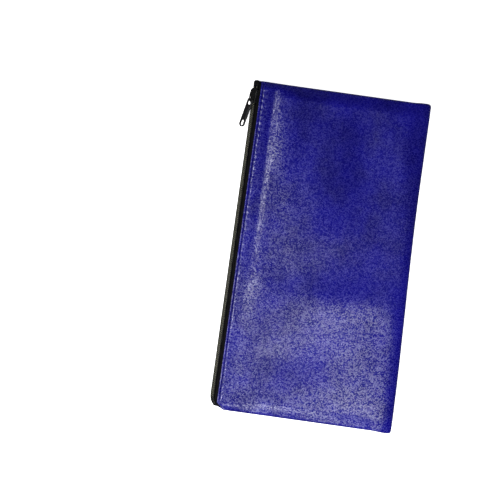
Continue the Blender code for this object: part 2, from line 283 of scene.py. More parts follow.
class Wiring:
    """Places and joins the nodes of one tree."""

    def __init__(self, tree: bpy.types.NodeTree) -> None:
        """Starts on a tree."""
        self.tree = tree

    def add(self, kind: str, inputs: dict | None = None, **settings: object) -> bpy.types.Node:
        """Adds a node.

        Args:
            kind: the node's type name.
            inputs: socket name or index to a value or to another node's output.
            settings: the node's own properties.

        Returns:
            The node.
        """
        node = self.tree.nodes.new(kind)
        for name, value in settings.items():
            setattr(node, name, value)
        for name, value in (inputs or {}).items():
            if isinstance(value, bpy.types.NodeSocket):
                self.tree.links.new(value, node.inputs[name])
            else:
                node.inputs[name].default_value = value
        return node

    def math(self, operation: str, *values: object) -> bpy.types.NodeSocket:
        """Result of a Math node on the values."""
        node = self.add("ShaderNodeMath", dict(enumerate(values)), operation=operation)
        return node.outputs[0]

    def between(self, value: object, low: float, high: float, to_low: float = 0.0,
                to_high: float = 1.0) -> bpy.types.NodeSocket:
        """The value mapped from low..high to to_low..to_high, with level ends."""
        node = self.add("ShaderNodeMapRange", {0: value, 1: low, 2: high, 3: to_low, 4: to_high},
                        interpolation_type="SMOOTHSTEP")
        return node.outputs[0]

    def mixed(self, share: object, first: object, second: object) -> bpy.types.NodeSocket:
        """A colour between two."""
        node = self.add("ShaderNodeMix", {0: share, 6: first, 7: second}, data_type="RGBA")
        return node.outputs[2]


def new_group(name: str, inputs: dict[str, tuple[str, object]], outputs: dict[str, str]) -> Wiring:
    """Starts a shader node group.

    Args:
        name: the group's name.
        inputs: input name to (kind, default), with kind Float, Vector or Color.
        outputs: output name to kind.

    Returns:
        The group's wiring, whose tree holds nodes named source and result.
    """
    tree = bpy.data.node_groups.new(name, "ShaderNodeTree")
    for label, (kind, default) in inputs.items():
        made = tree.interface.new_socket(label, in_out="INPUT", socket_type="NodeSocket" + kind)
        if default is not None:
            made.default_value = default
    for label, kind in outputs.items():
        tree.interface.new_socket(label, in_out="OUTPUT", socket_type="NodeSocket" + kind)
    tree.nodes.new("NodeGroupInput").name = "source"
    tree.nodes.new("NodeGroupOutput").name = "result"
    return Wiring(tree)


class SharedEffects:
    """Node groups that several finishes use."""

    def __init__(self) -> None:
        """Builds the groups once."""
        self.grain = self.make_grain()
        self.weave = self.make_weave()
        self.wear_and_highlight = self.make_wear_and_highlight()
        self.fibres = self.make_fibres()

    @staticmethod
    def make_grain() -> bpy.types.NodeTree:
        """Pebbled surface: rounded pebbles with fine creases between them.

        Returns:
            The group, with outputs Height, Crease and Shade.
        """
        made = new_group("pebble_grain", {"Place": ("Vector", None), "Pebble": ("Float", 0.0008),
                                          "Fine": ("Float", 0.25), "Lean": ("Float", 1.2)},
                         {"Height": "Float", "Crease": "Float", "Shade": "Float"})
        source, result = made.tree.nodes["source"].outputs, made.tree.nodes["result"].inputs
        per = made.math("DIVIDE", 1.0, source["Pebble"])
        drift_reach = 0.0004
        drift = made.add("ShaderNodeTexNoise", {"Vector": source["Place"], "Scale": 420.0, "Detail": 2.0})
        centred = made.add("ShaderNodeVectorMath", {0: drift.outputs["Color"], 1: (0.5, 0.5, 0.5)},
                           operation="SUBTRACT")
        moved = made.add("ShaderNodeVectorMath", {0: centred.outputs[0], "Scale": drift_reach},
                         operation="SCALE")
        place = made.add("ShaderNodeVectorMath", {0: source["Place"], 1: moved.outputs[0]}, operation="ADD")
        cells = made.add("ShaderNodeTexVoronoi", {"Vector": place.outputs[0], "Scale": per}, feature="F1")
        edges = made.add("ShaderNodeTexVoronoi", {"Vector": place.outputs[0], "Scale": per},
                         feature="DISTANCE_TO_EDGE")
        dome = made.between(cells.outputs["Distance"], 0.0, 0.75, 1.0, 0.0)
        crease = made.between(edges.outputs["Distance"], 0.0, 0.16, 1.0, 0.0)
        tone = made.add("ShaderNodeSeparateColor", {0: cells.outputs["Color"]}).outputs[0]
        fine = made.add("ShaderNodeTexNoise", {"Vector": source["Place"], "Scale": 5200.0, "Detail": 2.0})
        tall = made.math("MULTIPLY", dome, made.between(tone, 0.0, 1.0, 0.55, 1.0))
        rough = made.math("MULTIPLY", fine.outputs["Fac"], source["Fine"])
        off = made.add("ShaderNodeVectorMath", {0: place.outputs[0], 1: cells.outputs["Position"]},
                       operation="SUBTRACT")
        lean = made.add("ShaderNodeVectorMath", {0: cells.outputs["Color"], 1: (0.5, 0.5, 0.5)},
                        operation="SUBTRACT")
        tilt = made.add("ShaderNodeVectorMath", {0: off.outputs[0], 1: lean.outputs[0]},
                        operation="DOT_PRODUCT").outputs["Value"]
        tilt = made.math("MULTIPLY", made.math("MULTIPLY", tilt, per), source["Lean"])
        height = made.math("SUBTRACT", made.math("ADD", tall, rough), made.math("MULTIPLY", crease, 0.35))
        height = made.math("ADD", height, tilt)
        made.tree.links.new(height, result["Height"])
        made.tree.links.new(crease, result["Crease"])
        made.tree.links.new(tone, result["Shade"])
        return made.tree

    @staticmethod
    def make_weave() -> bpy.types.NodeTree:
        """Twill of warp yarns and slanting picks, on a place whose X runs across the cloth and Y along it.

        Returns:
            The group, with outputs Height and Shade.
        """
        made = new_group("ribbed_weave", {"Place": ("Vector", None), "Yarn": ("Float", 0.0004),
                                          "Slant": ("Float", 0.7)}, {"Height": "Float", "Shade": "Float"})
        source, result = made.tree.nodes["source"].outputs, made.tree.nodes["result"].inputs
        axes = made.add("ShaderNodeSeparateXYZ", {0: source["Place"]}).outputs
        turns = made.math("DIVIDE", 2 * math.pi, source["Yarn"])
        warp = made.math("SINE", made.math("MULTIPLY", axes[0], turns))
        slanted = made.math("ADD", axes[1], made.math("MULTIPLY", axes[0], source["Slant"]))
        pick = made.math("SINE", made.math("MULTIPLY", slanted, turns))
        height = made.math("ADD", made.math("MULTIPLY", warp, 0.22), made.math("MULTIPLY", pick, 0.28))
        height = made.math("ADD", height, 0.5)
        uneven = made.add("ShaderNodeTexNoise", {"Vector": source["Place"], "Scale": 900.0, "Detail": 3.0})
        # Painted shade: darker in the valleys between yarns and lighter on their tops, broken up by noise.
        shade = made.math("MULTIPLY", height, made.between(uneven.outputs["Fac"], 0.3, 0.7, 0.7, 1.0))
        made.tree.links.new(height, result["Height"])
        made.tree.links.new(shade, result["Shade"])
        return made.tree

    @staticmethod
    def make_wear_and_highlight() -> bpy.types.NodeTree:
        """Rubbed edges, also used as a painted highlight along the leatherette's sharp edges: strongest on
        sharp outward edges, broken up by noise.

        Returns:
            The group, with output Worn.
        """
        made = new_group("edge_wear", {"Place": ("Vector", None), "Sharp": ("Float", 0.56),
                                       "Amount": ("Float", 0.5)}, {"Worn": "Float"})
        source, result = made.tree.nodes["source"].outputs, made.tree.nodes["result"].inputs
        point = made.add("ShaderNodeNewGeometry").outputs["Pointiness"]
        edge = made.add("ShaderNodeMapRange", {0: point, 1: source["Sharp"], 2: 0.72, 3: 0.0, 4: 1.0})
        broken = made.add("ShaderNodeTexNoise", {"Vector": source["Place"], "Scale": 700.0, "Detail": 4.0})
        patches = made.between(broken.outputs["Fac"], 0.42, 0.62)
        worn = made.math("MULTIPLY", made.math("MULTIPLY", edge.outputs[0], patches), source["Amount"])
        made.tree.links.new(worn, result["Worn"])
        return made.tree

    @staticmethod
    def make_fibres() -> bpy.types.NodeTree:
        """Twisted plies of a sewing thread, slanting across it.

        Returns:
            The group, with output Height.
        """
        made = new_group("twisted_plies", {"Place": ("Vector", None), "Ply": ("Float", 0.0003)},
                         {"Height": "Float"})
        source, result = made.tree.nodes["source"].outputs, made.tree.nodes["result"].inputs
        axes = made.add("ShaderNodeSeparateXYZ", {0: source["Place"]}).outputs
        turns = made.math("DIVIDE", 2 * math.pi, source["Ply"])
        slanted = made.math("ADD", made.math("ADD", axes[1], axes[0]), axes[2])
        wave = made.math("SINE", made.math("MULTIPLY", slanted, turns))
        made.tree.links.new(made.math("MULTIPLY_ADD", wave, 0.5, 0.5), result["Height"])
        return made.tree


def new_material(name: str) -> tuple[bpy.types.Material, Wiring, bpy.types.Node]:
    """A material with its wiring and its Principled shader."""
    material = bpy.data.materials.new(name)
    material.use_nodes = True
    return material, Wiring(material.node_tree), material.node_tree.nodes["Principled BSDF"]


def set_shader(shader: bpy.types.Node, **values: float) -> None:
    """Sets the shader's own sockets, with _ for each space in a name."""
    for name, value in values.items():
        shader.inputs[name.replace("_", " ")].default_value = value


@dataclass(frozen=True)
class Leatherette:
    """Pebbled blue vinyl on a cloth backing."""

    deep: tuple[float, float, float] = (0.0030, 0.0022, 0.100)
    lit: tuple[float, float, float] = (0.0085, 0.0065, 0.310)
    pebble: float = 0.00088
    depth: float = 0.000045
    smooth: float = 0.28
    rough: float = 0.36
    dull: float = 0.10
    bright: float = 1.2

    def build(self, effects: SharedEffects) -> bpy.types.Material:
        """Makes the material.

        Args:
            effects: the shared node groups.

        Returns:
            The material.
        """
        material, wire, shader = new_material("blue_leatherette")
        place = wire.add("ShaderNodeTexCoord").outputs["Object"]
        grain = wire.add("ShaderNodeGroup", node_tree=effects.grain)
        wire.tree.links.new(place, grain.inputs["Place"])
        grain.inputs["Pebble"].default_value = self.pebble
        cloud = wire.add("ShaderNodeTexNoise", {"Vector": place, "Scale": 38.0, "Detail": 4.0})
        tone = wire.math("ADD", wire.math("MULTIPLY", grain.outputs["Shade"], 0.4),
                         wire.math("MULTIPLY", wire.between(cloud.outputs["Fac"], 0.3, 0.7), 0.4))
        colour = wire.mixed(tone, (*self.deep, 1), (*self.lit, 1))
        # Painted shade: the colour is darkened in the creases between pebbles.
        colour = wire.mixed(wire.math("MULTIPLY", grain.outputs["Crease"], 0.45), colour,
                            (*[c * 0.55 for c in self.deep], 1))
        # Pale blue on sharp edges such as the hem bead and the end seams: partly rubbed wear, mostly a
        # painted highlight.
        worn = wire.add("ShaderNodeGroup", {"Place": place, "Sharp": 0.54, "Amount": 0.75},
                        node_tree=effects.wear_and_highlight)
        colour = wire.mixed(worn.outputs["Worn"], colour, (0.13, 0.12, 0.50, 1))
        wire.tree.links.new(colour, shader.inputs["Base Color"])
        gloss = wire.between(grain.outputs["Shade"], 0.0, 1.0, self.rough, self.smooth)
        wire.tree.links.new(gloss, shader.inputs["Roughness"])
        bump = wire.add("ShaderNodeBump", {"Height": grain.outputs["Height"], "Distance": self.depth,
                                           "Strength": 1.0})
        wire.tree.links.new(bump.outputs[0], shader.inputs["Normal"])
        shine = wire.between(grain.outputs["Shade"], 0.1, 0.9, self.dull, self.bright)
        shine = wire.math("MULTIPLY", shine, wire.between(grain.outputs["Crease"], 0.0, 1.0, 1.0, 0.3))
        wire.tree.links.new(shine, shader.inputs["Specular IOR Level"])
        return material


@dataclass(frozen=True)
class WovenTape:
    """Black polyester zipper tape in twill."""

    dark: tuple[float, float, float] = (0.0012, 0.0012, 0.0014)
    light: tuple[float, float, float] = (0.0050, 0.0050, 0.0058)
    yarn: float = 0.00042
    depth: float = 0.00008

    def build(self, effects: SharedEffects) -> bpy.types.Material:
        """Makes the material, whose weave follows the piece's own map.

        Args:
            effects: the shared node groups.

        Returns:
            The material.
        """
        material, wire, shader = new_material("black_tape_twill")
        place = wire.add("ShaderNodeUVMap", uv_map="tape_run").outputs[0]
        weave = wire.add("ShaderNodeGroup", {"Place": place, "Yarn": self.yarn}, node_tree=effects.weave)
        # Painted shade from the weave: darker between yarns, lighter on their tops.
        colour = wire.mixed(weave.outputs["Shade"], (*self.dark, 1), (*self.light, 1))
        wire.tree.links.new(colour, shader.inputs["Base Color"])
        wire.tree.links.new(wire.between(weave.outputs["Height"], 0.0, 1.0, 0.95, 0.78),
                            shader.inputs["Roughness"])
        bump = wire.add("ShaderNodeBump", {"Height": weave.outputs["Height"], "Distance": self.depth})
        wire.tree.links.new(bump.outputs[0], shader.inputs["Normal"])
        set_shader(shader, Specular_IOR_Level=0.12)
        return material


@dataclass(frozen=True)
class NylonFilament:
    """Black nylon monofilament, with a painted highlight along the crowns of the windings."""

    colour: tuple[float, float, float] = (0.0030, 0.0030, 0.0034)
    rubbed: tuple[float, float, float] = (0.0080, 0.0080, 0.0090)
    crown_highlight: tuple[float, float, float] = (0.360, 0.360, 0.260)
    out: tuple[float, float, float] = (-0.8192, 0.0, 0.5736)
    crown: tuple[float, float] = (0.06568, 0.06604)

    def build(self, effects: SharedEffects) -> bpy.types.Material:
        """Makes the material.

        Args:
            effects: not needed here, but every finish is built in the same way.

        Returns:
            The material.
        """
        material, wire, shader = new_material("black_nylon_filament")
        place = wire.add("ShaderNodeTexCoord").outputs["Object"]
        haze = wire.add("ShaderNodeTexNoise", {"Vector": place, "Scale": 1500.0, "Detail": 3.0})
        share = wire.between(haze.outputs["Fac"], 0.4, 0.7)
        tone = wire.mixed(share, (*self.colour, 1), (*self.rubbed, 1))
        # Painted highlight: the windings' crowns, facing out, are tinted light grey.
        height = wire.add("ShaderNodeVectorMath", {0: place, 1: self.out}, operation="DOT_PRODUCT")
        crown = wire.between(height.outputs["Value"], *self.crown)
        tone = wire.mixed(wire.math("MULTIPLY", crown, wire.between(share, 0.0, 1.0, 0.6, 1.0)), tone,
                          (*self.crown_highlight, 1))
        wire.tree.links.new(tone, shader.inputs["Base Color"])
        wire.tree.links.new(wire.between(haze.outputs["Fac"], 0.3, 0.7, 0.16, 0.26),
                            shader.inputs["Roughness"])
        bump = wire.add("ShaderNodeBump", {"Height": haze.outputs["Fac"], "Distance": 0.00002})
        wire.tree.links.new(bump.outputs[0], shader.inputs["Normal"])
        set_shader(shader, Specular_IOR_Level=0.4)
        return material


@dataclass(frozen=True)
class SewingThread:
    """Twisted polyester sewing thread."""

    name: str
    dark: tuple[float, float, float]
    light: tuple[float, float, float]

    def build(self, effects: SharedEffects) -> bpy.types.Material:
        """Makes the material.

        Args:
            effects: the shared node groups.

        Returns:
            The material.
        """
        material, wire, shader = new_material(self.name)
        place = wire.add("ShaderNodeTexCoord").outputs["Object"]
        plies = wire.add("ShaderNodeGroup", {"Place": place}, node_tree=effects.fibres)
        fuzz = wire.add("ShaderNodeTexNoise", {"Vector": place, "Scale": 3000.0, "Detail": 3.0})
        speckle = wire.between(fuzz.outputs["Fac"], 0.2, 0.8, 0.5, 1.0)
        # Painted shade: darker in the grooves between plies and lighter on their tops, broken up by
        # speckle.
        share = wire.math("MULTIPLY", plies.outputs["Height"], speckle)
        colour = wire.mixed(share, (*self.dark, 1), (*self.light, 1))
        wire.tree.links.new(colour, shader.inputs["Base Color"])
        roughness = wire.between(fuzz.outputs["Fac"], 0.2, 0.8, 0.5, 0.68)
        wire.tree.links.new(roughness, shader.inputs["Roughness"])
        bump = wire.add("ShaderNodeBump", {"Height": plies.outputs["Height"], "Distance": 0.00005})
        wire.tree.links.new(bump.outputs[0], shader.inputs["Normal"])
        set_shader(shader, Sheen_Weight=0.1, Sheen_Roughness=0.4)
        return material


@dataclass(frozen=True)
class Enamel:
    """Baked enamel on cast zinc, rubbed at its edges."""

    name: str
    colour: tuple[float, float, float]
    smooth: float
    rough: float
    worn: float

    def build(self, effects: SharedEffects) -> bpy.types.Material:
        """Makes the material.

        Args:
            effects: the shared node groups.

        Returns:
            The material.
        """
        material, wire, shader = new_material(self.name)
        place = wire.add("ShaderNodeTexCoord").outputs["Object"]
        skin = wire.add("ShaderNodeTexNoise", {"Vector": place, "Scale": 1800.0, "Detail": 3.0})
        edge = wire.add("ShaderNodeGroup", {"Place": place, "Sharp": 0.53, "Amount": self.worn},
                        node_tree=effects.wear_and_highlight).outputs["Worn"]
        dull = wire.between(skin.outputs["Fac"], 0.3, 0.7)
        body = wire.mixed(dull, (*self.colour, 1), (*[c * 1.7 for c in self.colour], 1))
        wire.tree.links.new(wire.mixed(edge, body, (0.18, 0.18, 0.19, 1)), shader.inputs["Base Color"])
        wire.tree.links.new(wire.math("MULTIPLY", edge, 0.8), shader.inputs["Metallic"])
        wire.tree.links.new(wire.between(skin.outputs["Fac"], 0.3, 0.7, self.smooth, self.rough),
                            shader.inputs["Roughness"])
        bump = wire.add("ShaderNodeBump", {"Height": skin.outputs["Fac"], "Distance": 0.00003})
        wire.tree.links.new(bump.outputs[0], shader.inputs["Normal"])
        set_shader(shader, Specular_IOR_Level=0.35)
        return material


class Finishes:
    """Every material of the bag, built once."""

    def __init__(self) -> None:
        """Builds the materials from the shared effects."""
        effects = SharedEffects()
        self.leatherette = Leatherette().build(effects)
        self.tape = WovenTape().build(effects)
        self.nylon = NylonFilament().build(effects)
        blue = SewingThread("blue_thread", (0.003, 0.0025, 0.060), (0.010, 0.009, 0.16))
        black = SewingThread("black_thread", (0.004, 0.004, 0.005), (0.020, 0.020, 0.022))
        self.thread, self.black_thread = blue.build(effects), black.build(effects)
        slider = Enamel("black_slider_enamel", (0.004, 0.004, 0.0045), 0.22, 0.36, 0.45)
        tab = Enamel("black_tab_enamel", (0.005, 0.005, 0.0055), 0.28, 0.44, 0.35)
        self.slider, self.tab = slider.build(effects), tab.build(effects)


# ---------------------------------------------------------------------------------------------
# Mesh helpers


def make_piece(name: str, points: Sequence, faces: Sequence, material: bpy.types.Material,
               sharp: float | None = None) -> bpy.types.Object:
    """Makes a mesh object with outward faces.

    Args:
        name: the piece's name.
        points: its corners in the shared frame.
        faces: corner numbers of each face.
        material: its finish.
        sharp: angle in degrees past which an edge stays sharp, or None to round all.

    Returns:
        The object, in the scene.
    """
    mesh = bpy.data.meshes.new(name)
    mesh.from_pydata([tuple(map(float, p)) for p in points], [], [tuple(map(int, f)) for f in faces])
    bm = bmesh.new()
    bm.from_mesh(mesh)
    bmesh.ops.recalc_face_normals(bm, faces=bm.faces)
    bm.to_mesh(mesh)
    bm.free()
    mesh.shade_smooth()
    if sharp is not None:
        mesh.set_sharp_from_angle(angle=math.radians(sharp))
    mesh.materials.append(material)
    obj = bpy.data.objects.new(name, mesh)
    bpy.context.scene.collection.objects.link(obj)
    return obj


def sheet_mesh(middle: np.ndarray, thick: np.ndarray | float, rim: int = 3) -> Solid:
    """Thickens a grid of points into a closed sheet with rounded edges.

    Args:
        middle: the sheet's middle surface, rows by columns by 3.
        thick: its thickness, one number or one for each grid point.
        rim: number of steps round the edge.

    Returns:
        The corners and the faces.
    """
    rows, cols = middle.shape[:2]
    normal = np.cross(np.gradient(middle, axis=0), np.gradient(middle, axis=1))
    normal /= np.linalg.norm(normal, axis=2, keepdims=True)
    half = np.broadcast_to(np.asarray(thick, float) / 2, (rows, cols))[..., None]
    points = [(middle + normal * half).reshape(-1, 3), (middle - normal * half).reshape(-1, 3)]
    number = np.arange(rows * cols).reshape(rows, cols)
    cell_corners = [number[:-1, :-1], number[1:, :-1], number[1:, 1:], number[:-1, 1:]]
    quads = np.stack(cell_corners, -1).reshape(-1, 4)
    faces = quads.tolist() + (quads[:, ::-1] + rows * cols).tolist()
    loop = [(0, j) for j in range(cols)] + [(i, cols - 1) for i in range(1, rows)]
    loop += [(rows - 1, j) for j in range(cols - 2, -1, -1)] + [(i, 0) for i in range(rows - 2, 0, -1)]
    edge = np.array([middle[i, j] for i, j in loop])
    up = np.array([normal[i, j] for i, j in loop])
    size = np.array([half[i, j] for i, j in loop])
    away = np.zeros_like(edge)
    for k, (i, j) in enumerate(loop):
        inner = (min(max(i, 1), rows - 2), min(max(j, 1), cols - 2))
        away[k] = middle[i, j] - middle[inner]
    away -= up * (away * up).sum(1, keepdims=True)
    away /= np.linalg.norm(away, axis=1, keepdims=True)
    rings = [[number[i, j] for i, j in loop]]
    first = 2 * rows * cols
    for step in range(1, rim + 1):
        angle = math.pi * step / (rim + 1)
        points.append(edge + (up * math.cos(angle) + away * math.sin(angle)) * size)
        rings.append(list(range(first, first + len(loop))))
        first += len(loop)
    rings.append([number[i, j] + rows * cols for i, j in loop])
    for low, high in zip(rings, rings[1:]):
        for k in range(len(loop)):
            after = (k + 1) % len(loop)
            faces.append([low[k], low[after], high[after], high[k]])
    return np.concatenate(points), faces


def rings_mesh(rings: Sequence[np.ndarray]) -> Solid:
    """Joins closed rings of the same length, with a cap at each end."""
    count = len(rings[0])
    faces = [list(range(count)), [len(rings) * count - 1 - k for k in range(count)]]
    for row in range(len(rings) - 1):
        for k in range(count):
            after = (k + 1) % count
            base = row * count
            faces.append([base + k, base + after, base + count + after, base + count + k])
    return np.concatenate(rings), faces


def rounded_path(path: Sequence[Sequence[float]], rounds: int = 2) -> np.ndarray:
    """Cuts the corners of an open path, keeping its ends."""
    path = np.array(path, float)
    for _ in range(rounds):
        cut = [path[0]]
        for a, b in zip(path, path[1:]):
            cut += [a * 0.75 + b * 0.25, a * 0.25 + b * 0.75]
        path = np.array(cut + [path[-1]])
    return path


def rounded_loop(loop: Sequence[Sequence[float]], rounds: int = 2) -> np.ndarray:
    """Cuts the corners of a closed loop."""
    loop = np.array(loop, float)
    for _ in range(rounds):
        after = np.roll(loop, -1, axis=0)
        loop = np.stack([loop * 0.8 + after * 0.2, loop * 0.2 + after * 0.8], 1).reshape(-1, 2)
    return loop


def soft_prism(outline: np.ndarray, low: float, high: float, edge: float, steps: int = 3) -> Solid:
    """A plate with rounded edges.

    Args:
        outline: closed loop of (a, b), anticlockwise.
        low: lower face.
        high: upper face.
        edge: radius of the rounded edges.
        steps: number of steps round an edge.

    Returns:
        The corners as (a, b, level) and the faces.
    """
    ins, outs = outline - np.roll(outline, 1, axis=0), np.roll(outline, -1, axis=0) - outline
    ins /= np.linalg.norm(ins, axis=1, keepdims=True)
    outs /= np.linalg.norm(outs, axis=1, keepdims=True)
    along = ins + outs
    along /= np.linalg.norm(along, axis=1, keepdims=True)
    inward = np.stack([-along[:, 1], along[:, 0]], 1)
    rings = []
    for k in range(steps + 1):
        angle = math.pi / 2 * k / steps
        rings.append((edge * (1 - math.sin(angle)), low + edge * (1 - math.cos(angle))))
    rings += [(inset, high + low - level) for inset, level in rings[::-1]]
    stacked = [np.column_stack([outline + inward * inset, np.full(len(outline), level)])
               for inset, level in rings]
    return rings_mesh(stacked)


def join_solids(name: str, solids: Sequence[Solid], cuts: Sequence[Solid],
                material: bpy.types.Material) -> bpy.types.Object:
    """Joins closed solids into one and takes the cuts out of it.

    Args:
        name: the piece's name.
        solids: corners and faces of each solid, the first being the main one.
        cuts: corners and faces of each space to leave.
        material: the piece's finish.

    Returns:
        The object with the modifiers applied.
    """
    main, *others = [make_piece(f"{name}_{i}", *solid, material) for i, solid in enumerate(solids)]
    tools = [make_piece(f"{name}_cut_{i}", *cut, material) for i, cut in enumerate(cuts)]
    for tool, operation in [(o, "UNION") for o in others] + [(o, "DIFFERENCE") for o in tools]:
        step = main.modifiers.new(tool.name, "BOOLEAN")
        step.operation, step.solver, step.object = operation, "EXACT", tool
    mesh = evaluated_mesh(main, name)
    for used in [main, *others, *tools]:
        bpy.data.objects.remove(used, do_unlink=True)
    mesh.shade_smooth()
    mesh.set_sharp_from_angle(angle=math.radians(38))
    obj = bpy.data.objects.new(name, mesh)
    bpy.context.scene.collection.objects.link(obj)
    return obj


def evaluated_mesh(obj: bpy.types.Object, name: str) -> bpy.types.Mesh:
    """The object's mesh with its modifiers applied."""
    bpy.context.view_layer.update()
    graph = bpy.context.evaluated_depsgraph_get()
    mesh = bpy.data.meshes.new_from_object(obj.evaluated_get(graph))
    mesh.name = name
    return mesh


class NodeMaker:
    """Geometry Nodes trees for what repeats along the zipper and the seams."""

    def __init__(self) -> None:
        """Builds the trees once."""
        self.filament = self.make_filament()
        self.row = self.make_row()

    @staticmethod
    def new_tree(name: str, inputs: dict[str, tuple[str, object]]) -> Wiring:
        """Starts a tree that puts out a mesh.

        Args:
            name: the tree's name.
            inputs: input name to (kind, default).

        Returns:
            The tree's wiring, whose tree holds nodes named source and result.
        """
        tree = bpy.data.node_groups.new(name, "GeometryNodeTree")
        tree.interface.new_socket("Geometry", in_out="INPUT", socket_type="NodeSocketGeometry")
        for label, (kind, default) in inputs.items():
            made = tree.interface.new_socket(label, in_out="INPUT", socket_type="NodeSocket" + kind)
            if default is not None:
                made.default_value = default
        tree.interface.new_socket("Geometry", in_out="OUTPUT", socket_type="NodeSocketGeometry")
        tree.nodes.new("NodeGroupInput").name = "source"
        tree.nodes.new("NodeGroupOutput").name = "result"
        return Wiring(tree)

    @staticmethod
    def finish_tree(made: Wiring, geometry: bpy.types.NodeSocket,
                    material: bpy.types.NodeSocket) -> bpy.types.NodeTree:
        """Ends a tree in Realize Instances and Set Material."""
        real = made.add("GeometryNodeRealizeInstances", {0: geometry})
        dressed = made.add("GeometryNodeSetMaterial", {0: real.outputs[0], "Material": material})
        made.tree.links.new(dressed.outputs[0], made.tree.nodes["result"].inputs[0])
        return made.tree

    def make_filament(self) -> bpy.types.NodeTree:
        """One filament wound into flat loops along Y.

        Returns:
            The tree. Reach is half a loop's width and Rise half its height, and Lean crowds each loop's
            upper leg square to the winding.
        """
        made = self.new_tree("wound_filament", {
            "Turns": ("Int", 10), "Steps": ("Int", 10), "Pitch": ("Float", 0.00155),
            "Reach": ("Float", 0.001), "Rise": ("Float", 0.0005), "Lean": ("Float", 0.12),
            "Radius": ("Float", 0.0003), "Head": ("Float", 0.2), "Sides": ("Int", 5),
            "Material": ("Material", None)})
        source = made.tree.nodes["source"].outputs
        count = made.math("MULTIPLY", source["Turns"], source["Steps"])
        line = made.add("GeometryNodeMeshLine", {"Count": count, "Offset": (0, 0.001, 0)})
        index = made.add("GeometryNodeInputIndex").outputs[0]
        turns = made.math("DIVIDE", index, source["Steps"])
        angle = made.math("MULTIPLY", turns, 2 * math.pi)
        cosine, sine = made.math("COSINE", angle), made.math("SINE", angle)
        run = made.math("ADD", turns, made.math("MULTIPLY", cosine, source["Lean"]))
        place = made.add("ShaderNodeCombineXYZ", {0: made.math("MULTIPLY", cosine, source["Reach"]),
                                                  1: made.math("MULTIPLY", run, source["Pitch"]),
                                                  2: made.math("MULTIPLY", sine, source["Rise"])})
        placed = made.add("GeometryNodeSetPosition", {0: line.outputs[0], "Position": place.outputs[0]})
        curve = made.add("GeometryNodeMeshToCurve", {0: placed.outputs[0]})
        inner = made.math("POWER", made.math("MULTIPLY_ADD", cosine, -0.5, 0.5), 3.0)
        fat = made.math("MULTIPLY_ADD", inner, source["Head"], 1.0)
        ring = made.add("GeometryNodeCurvePrimitiveCircle", {"Resolution": source["Sides"],
                                                             "Radius": source["Radius"]})
        tube = made.add("GeometryNodeCurveToMesh", {0: curve.outputs[0], 1: ring.outputs[0], "Scale": fat,
                                                    "Fill Caps": True})
        return self.finish_tree(made, tube.outputs[0], source["Material"])

    def make_row(self) -> bpy.types.NodeTree:
        """Copies of one small piece at equal steps along Y.

        Returns:
            The tree.
        """
        made = self.new_tree("row_of_pieces", {"Piece": ("Object", None), "Count": ("Int", 10),
                                               "Pitch": ("Float", 0.0047), "Start": ("Float", 0.0),
                                               "Material": ("Material", None)})
        source = made.tree.nodes["source"].outputs
        step = made.add("ShaderNodeCombineXYZ", {1: source["Pitch"]})
        first = made.add("ShaderNodeCombineXYZ", {1: source["Start"]})
        line = made.add("GeometryNodeMeshLine", {"Count": source["Count"],
                                                 "Start Location": first.outputs[0],
                                                 "Offset": step.outputs[0]})
        piece = made.add("GeometryNodeObjectInfo", {"Object": source["Piece"]})
        copies = made.add("GeometryNodeInstanceOnPoints", {0: line.outputs[0],
                                                           "Instance": piece.outputs["Geometry"]})
        return self.finish_tree(made, copies.outputs[0], source["Material"])

    @staticmethod
    def run(tree: bpy.types.NodeTree, name: str, values: dict[str, object],
            place: Callable[[np.ndarray], np.ndarray]) -> bpy.types.Object:
        """Runs a tree and puts its points in place.

        Args:
            tree: the Geometry Nodes tree.
            name: the piece's name.
            values: input name to value.
            place: turns the tree's points, as rows, into points of the shared frame.

        Returns:
            A plain mesh object.
        """
        holder = bpy.data.objects.new(name + "_holder", bpy.data.meshes.new(name + "_holder"))
        bpy.context.scene.collection.objects.link(holder)
        nodes = holder.modifiers.new("nodes", "NODES")
        nodes.node_group = tree
        for item in tree.interface.items_tree:
            if item.in_out == "INPUT" and item.name in values:
                nodes[item.identifier] = values[item.name]
        mesh = evaluated_mesh(holder, name)
        bpy.data.objects.remove(holder, do_unlink=True)
        points = np.empty(len(mesh.vertices) * 3)
        mesh.vertices.foreach_get("co", points)
        mesh.vertices.foreach_set("co", place(points.reshape(-1, 3)).reshape(-1))
        bm = bmesh.new()
        bm.from_mesh(mesh)
        bmesh.ops.remove_doubles(bm, verts=bm.verts, dist=1e-7)
        bmesh.ops.recalc_face_normals(bm, faces=bm.faces)
        bm.to_mesh(mesh)
        bm.free()
        mesh.shade_smooth()
        obj = bpy.data.objects.new(name, mesh)
        bpy.context.scene.collection.objects.link(obj)
        return obj


# ---------------------------------------------------------------------------------------------
# Sub-assemblies


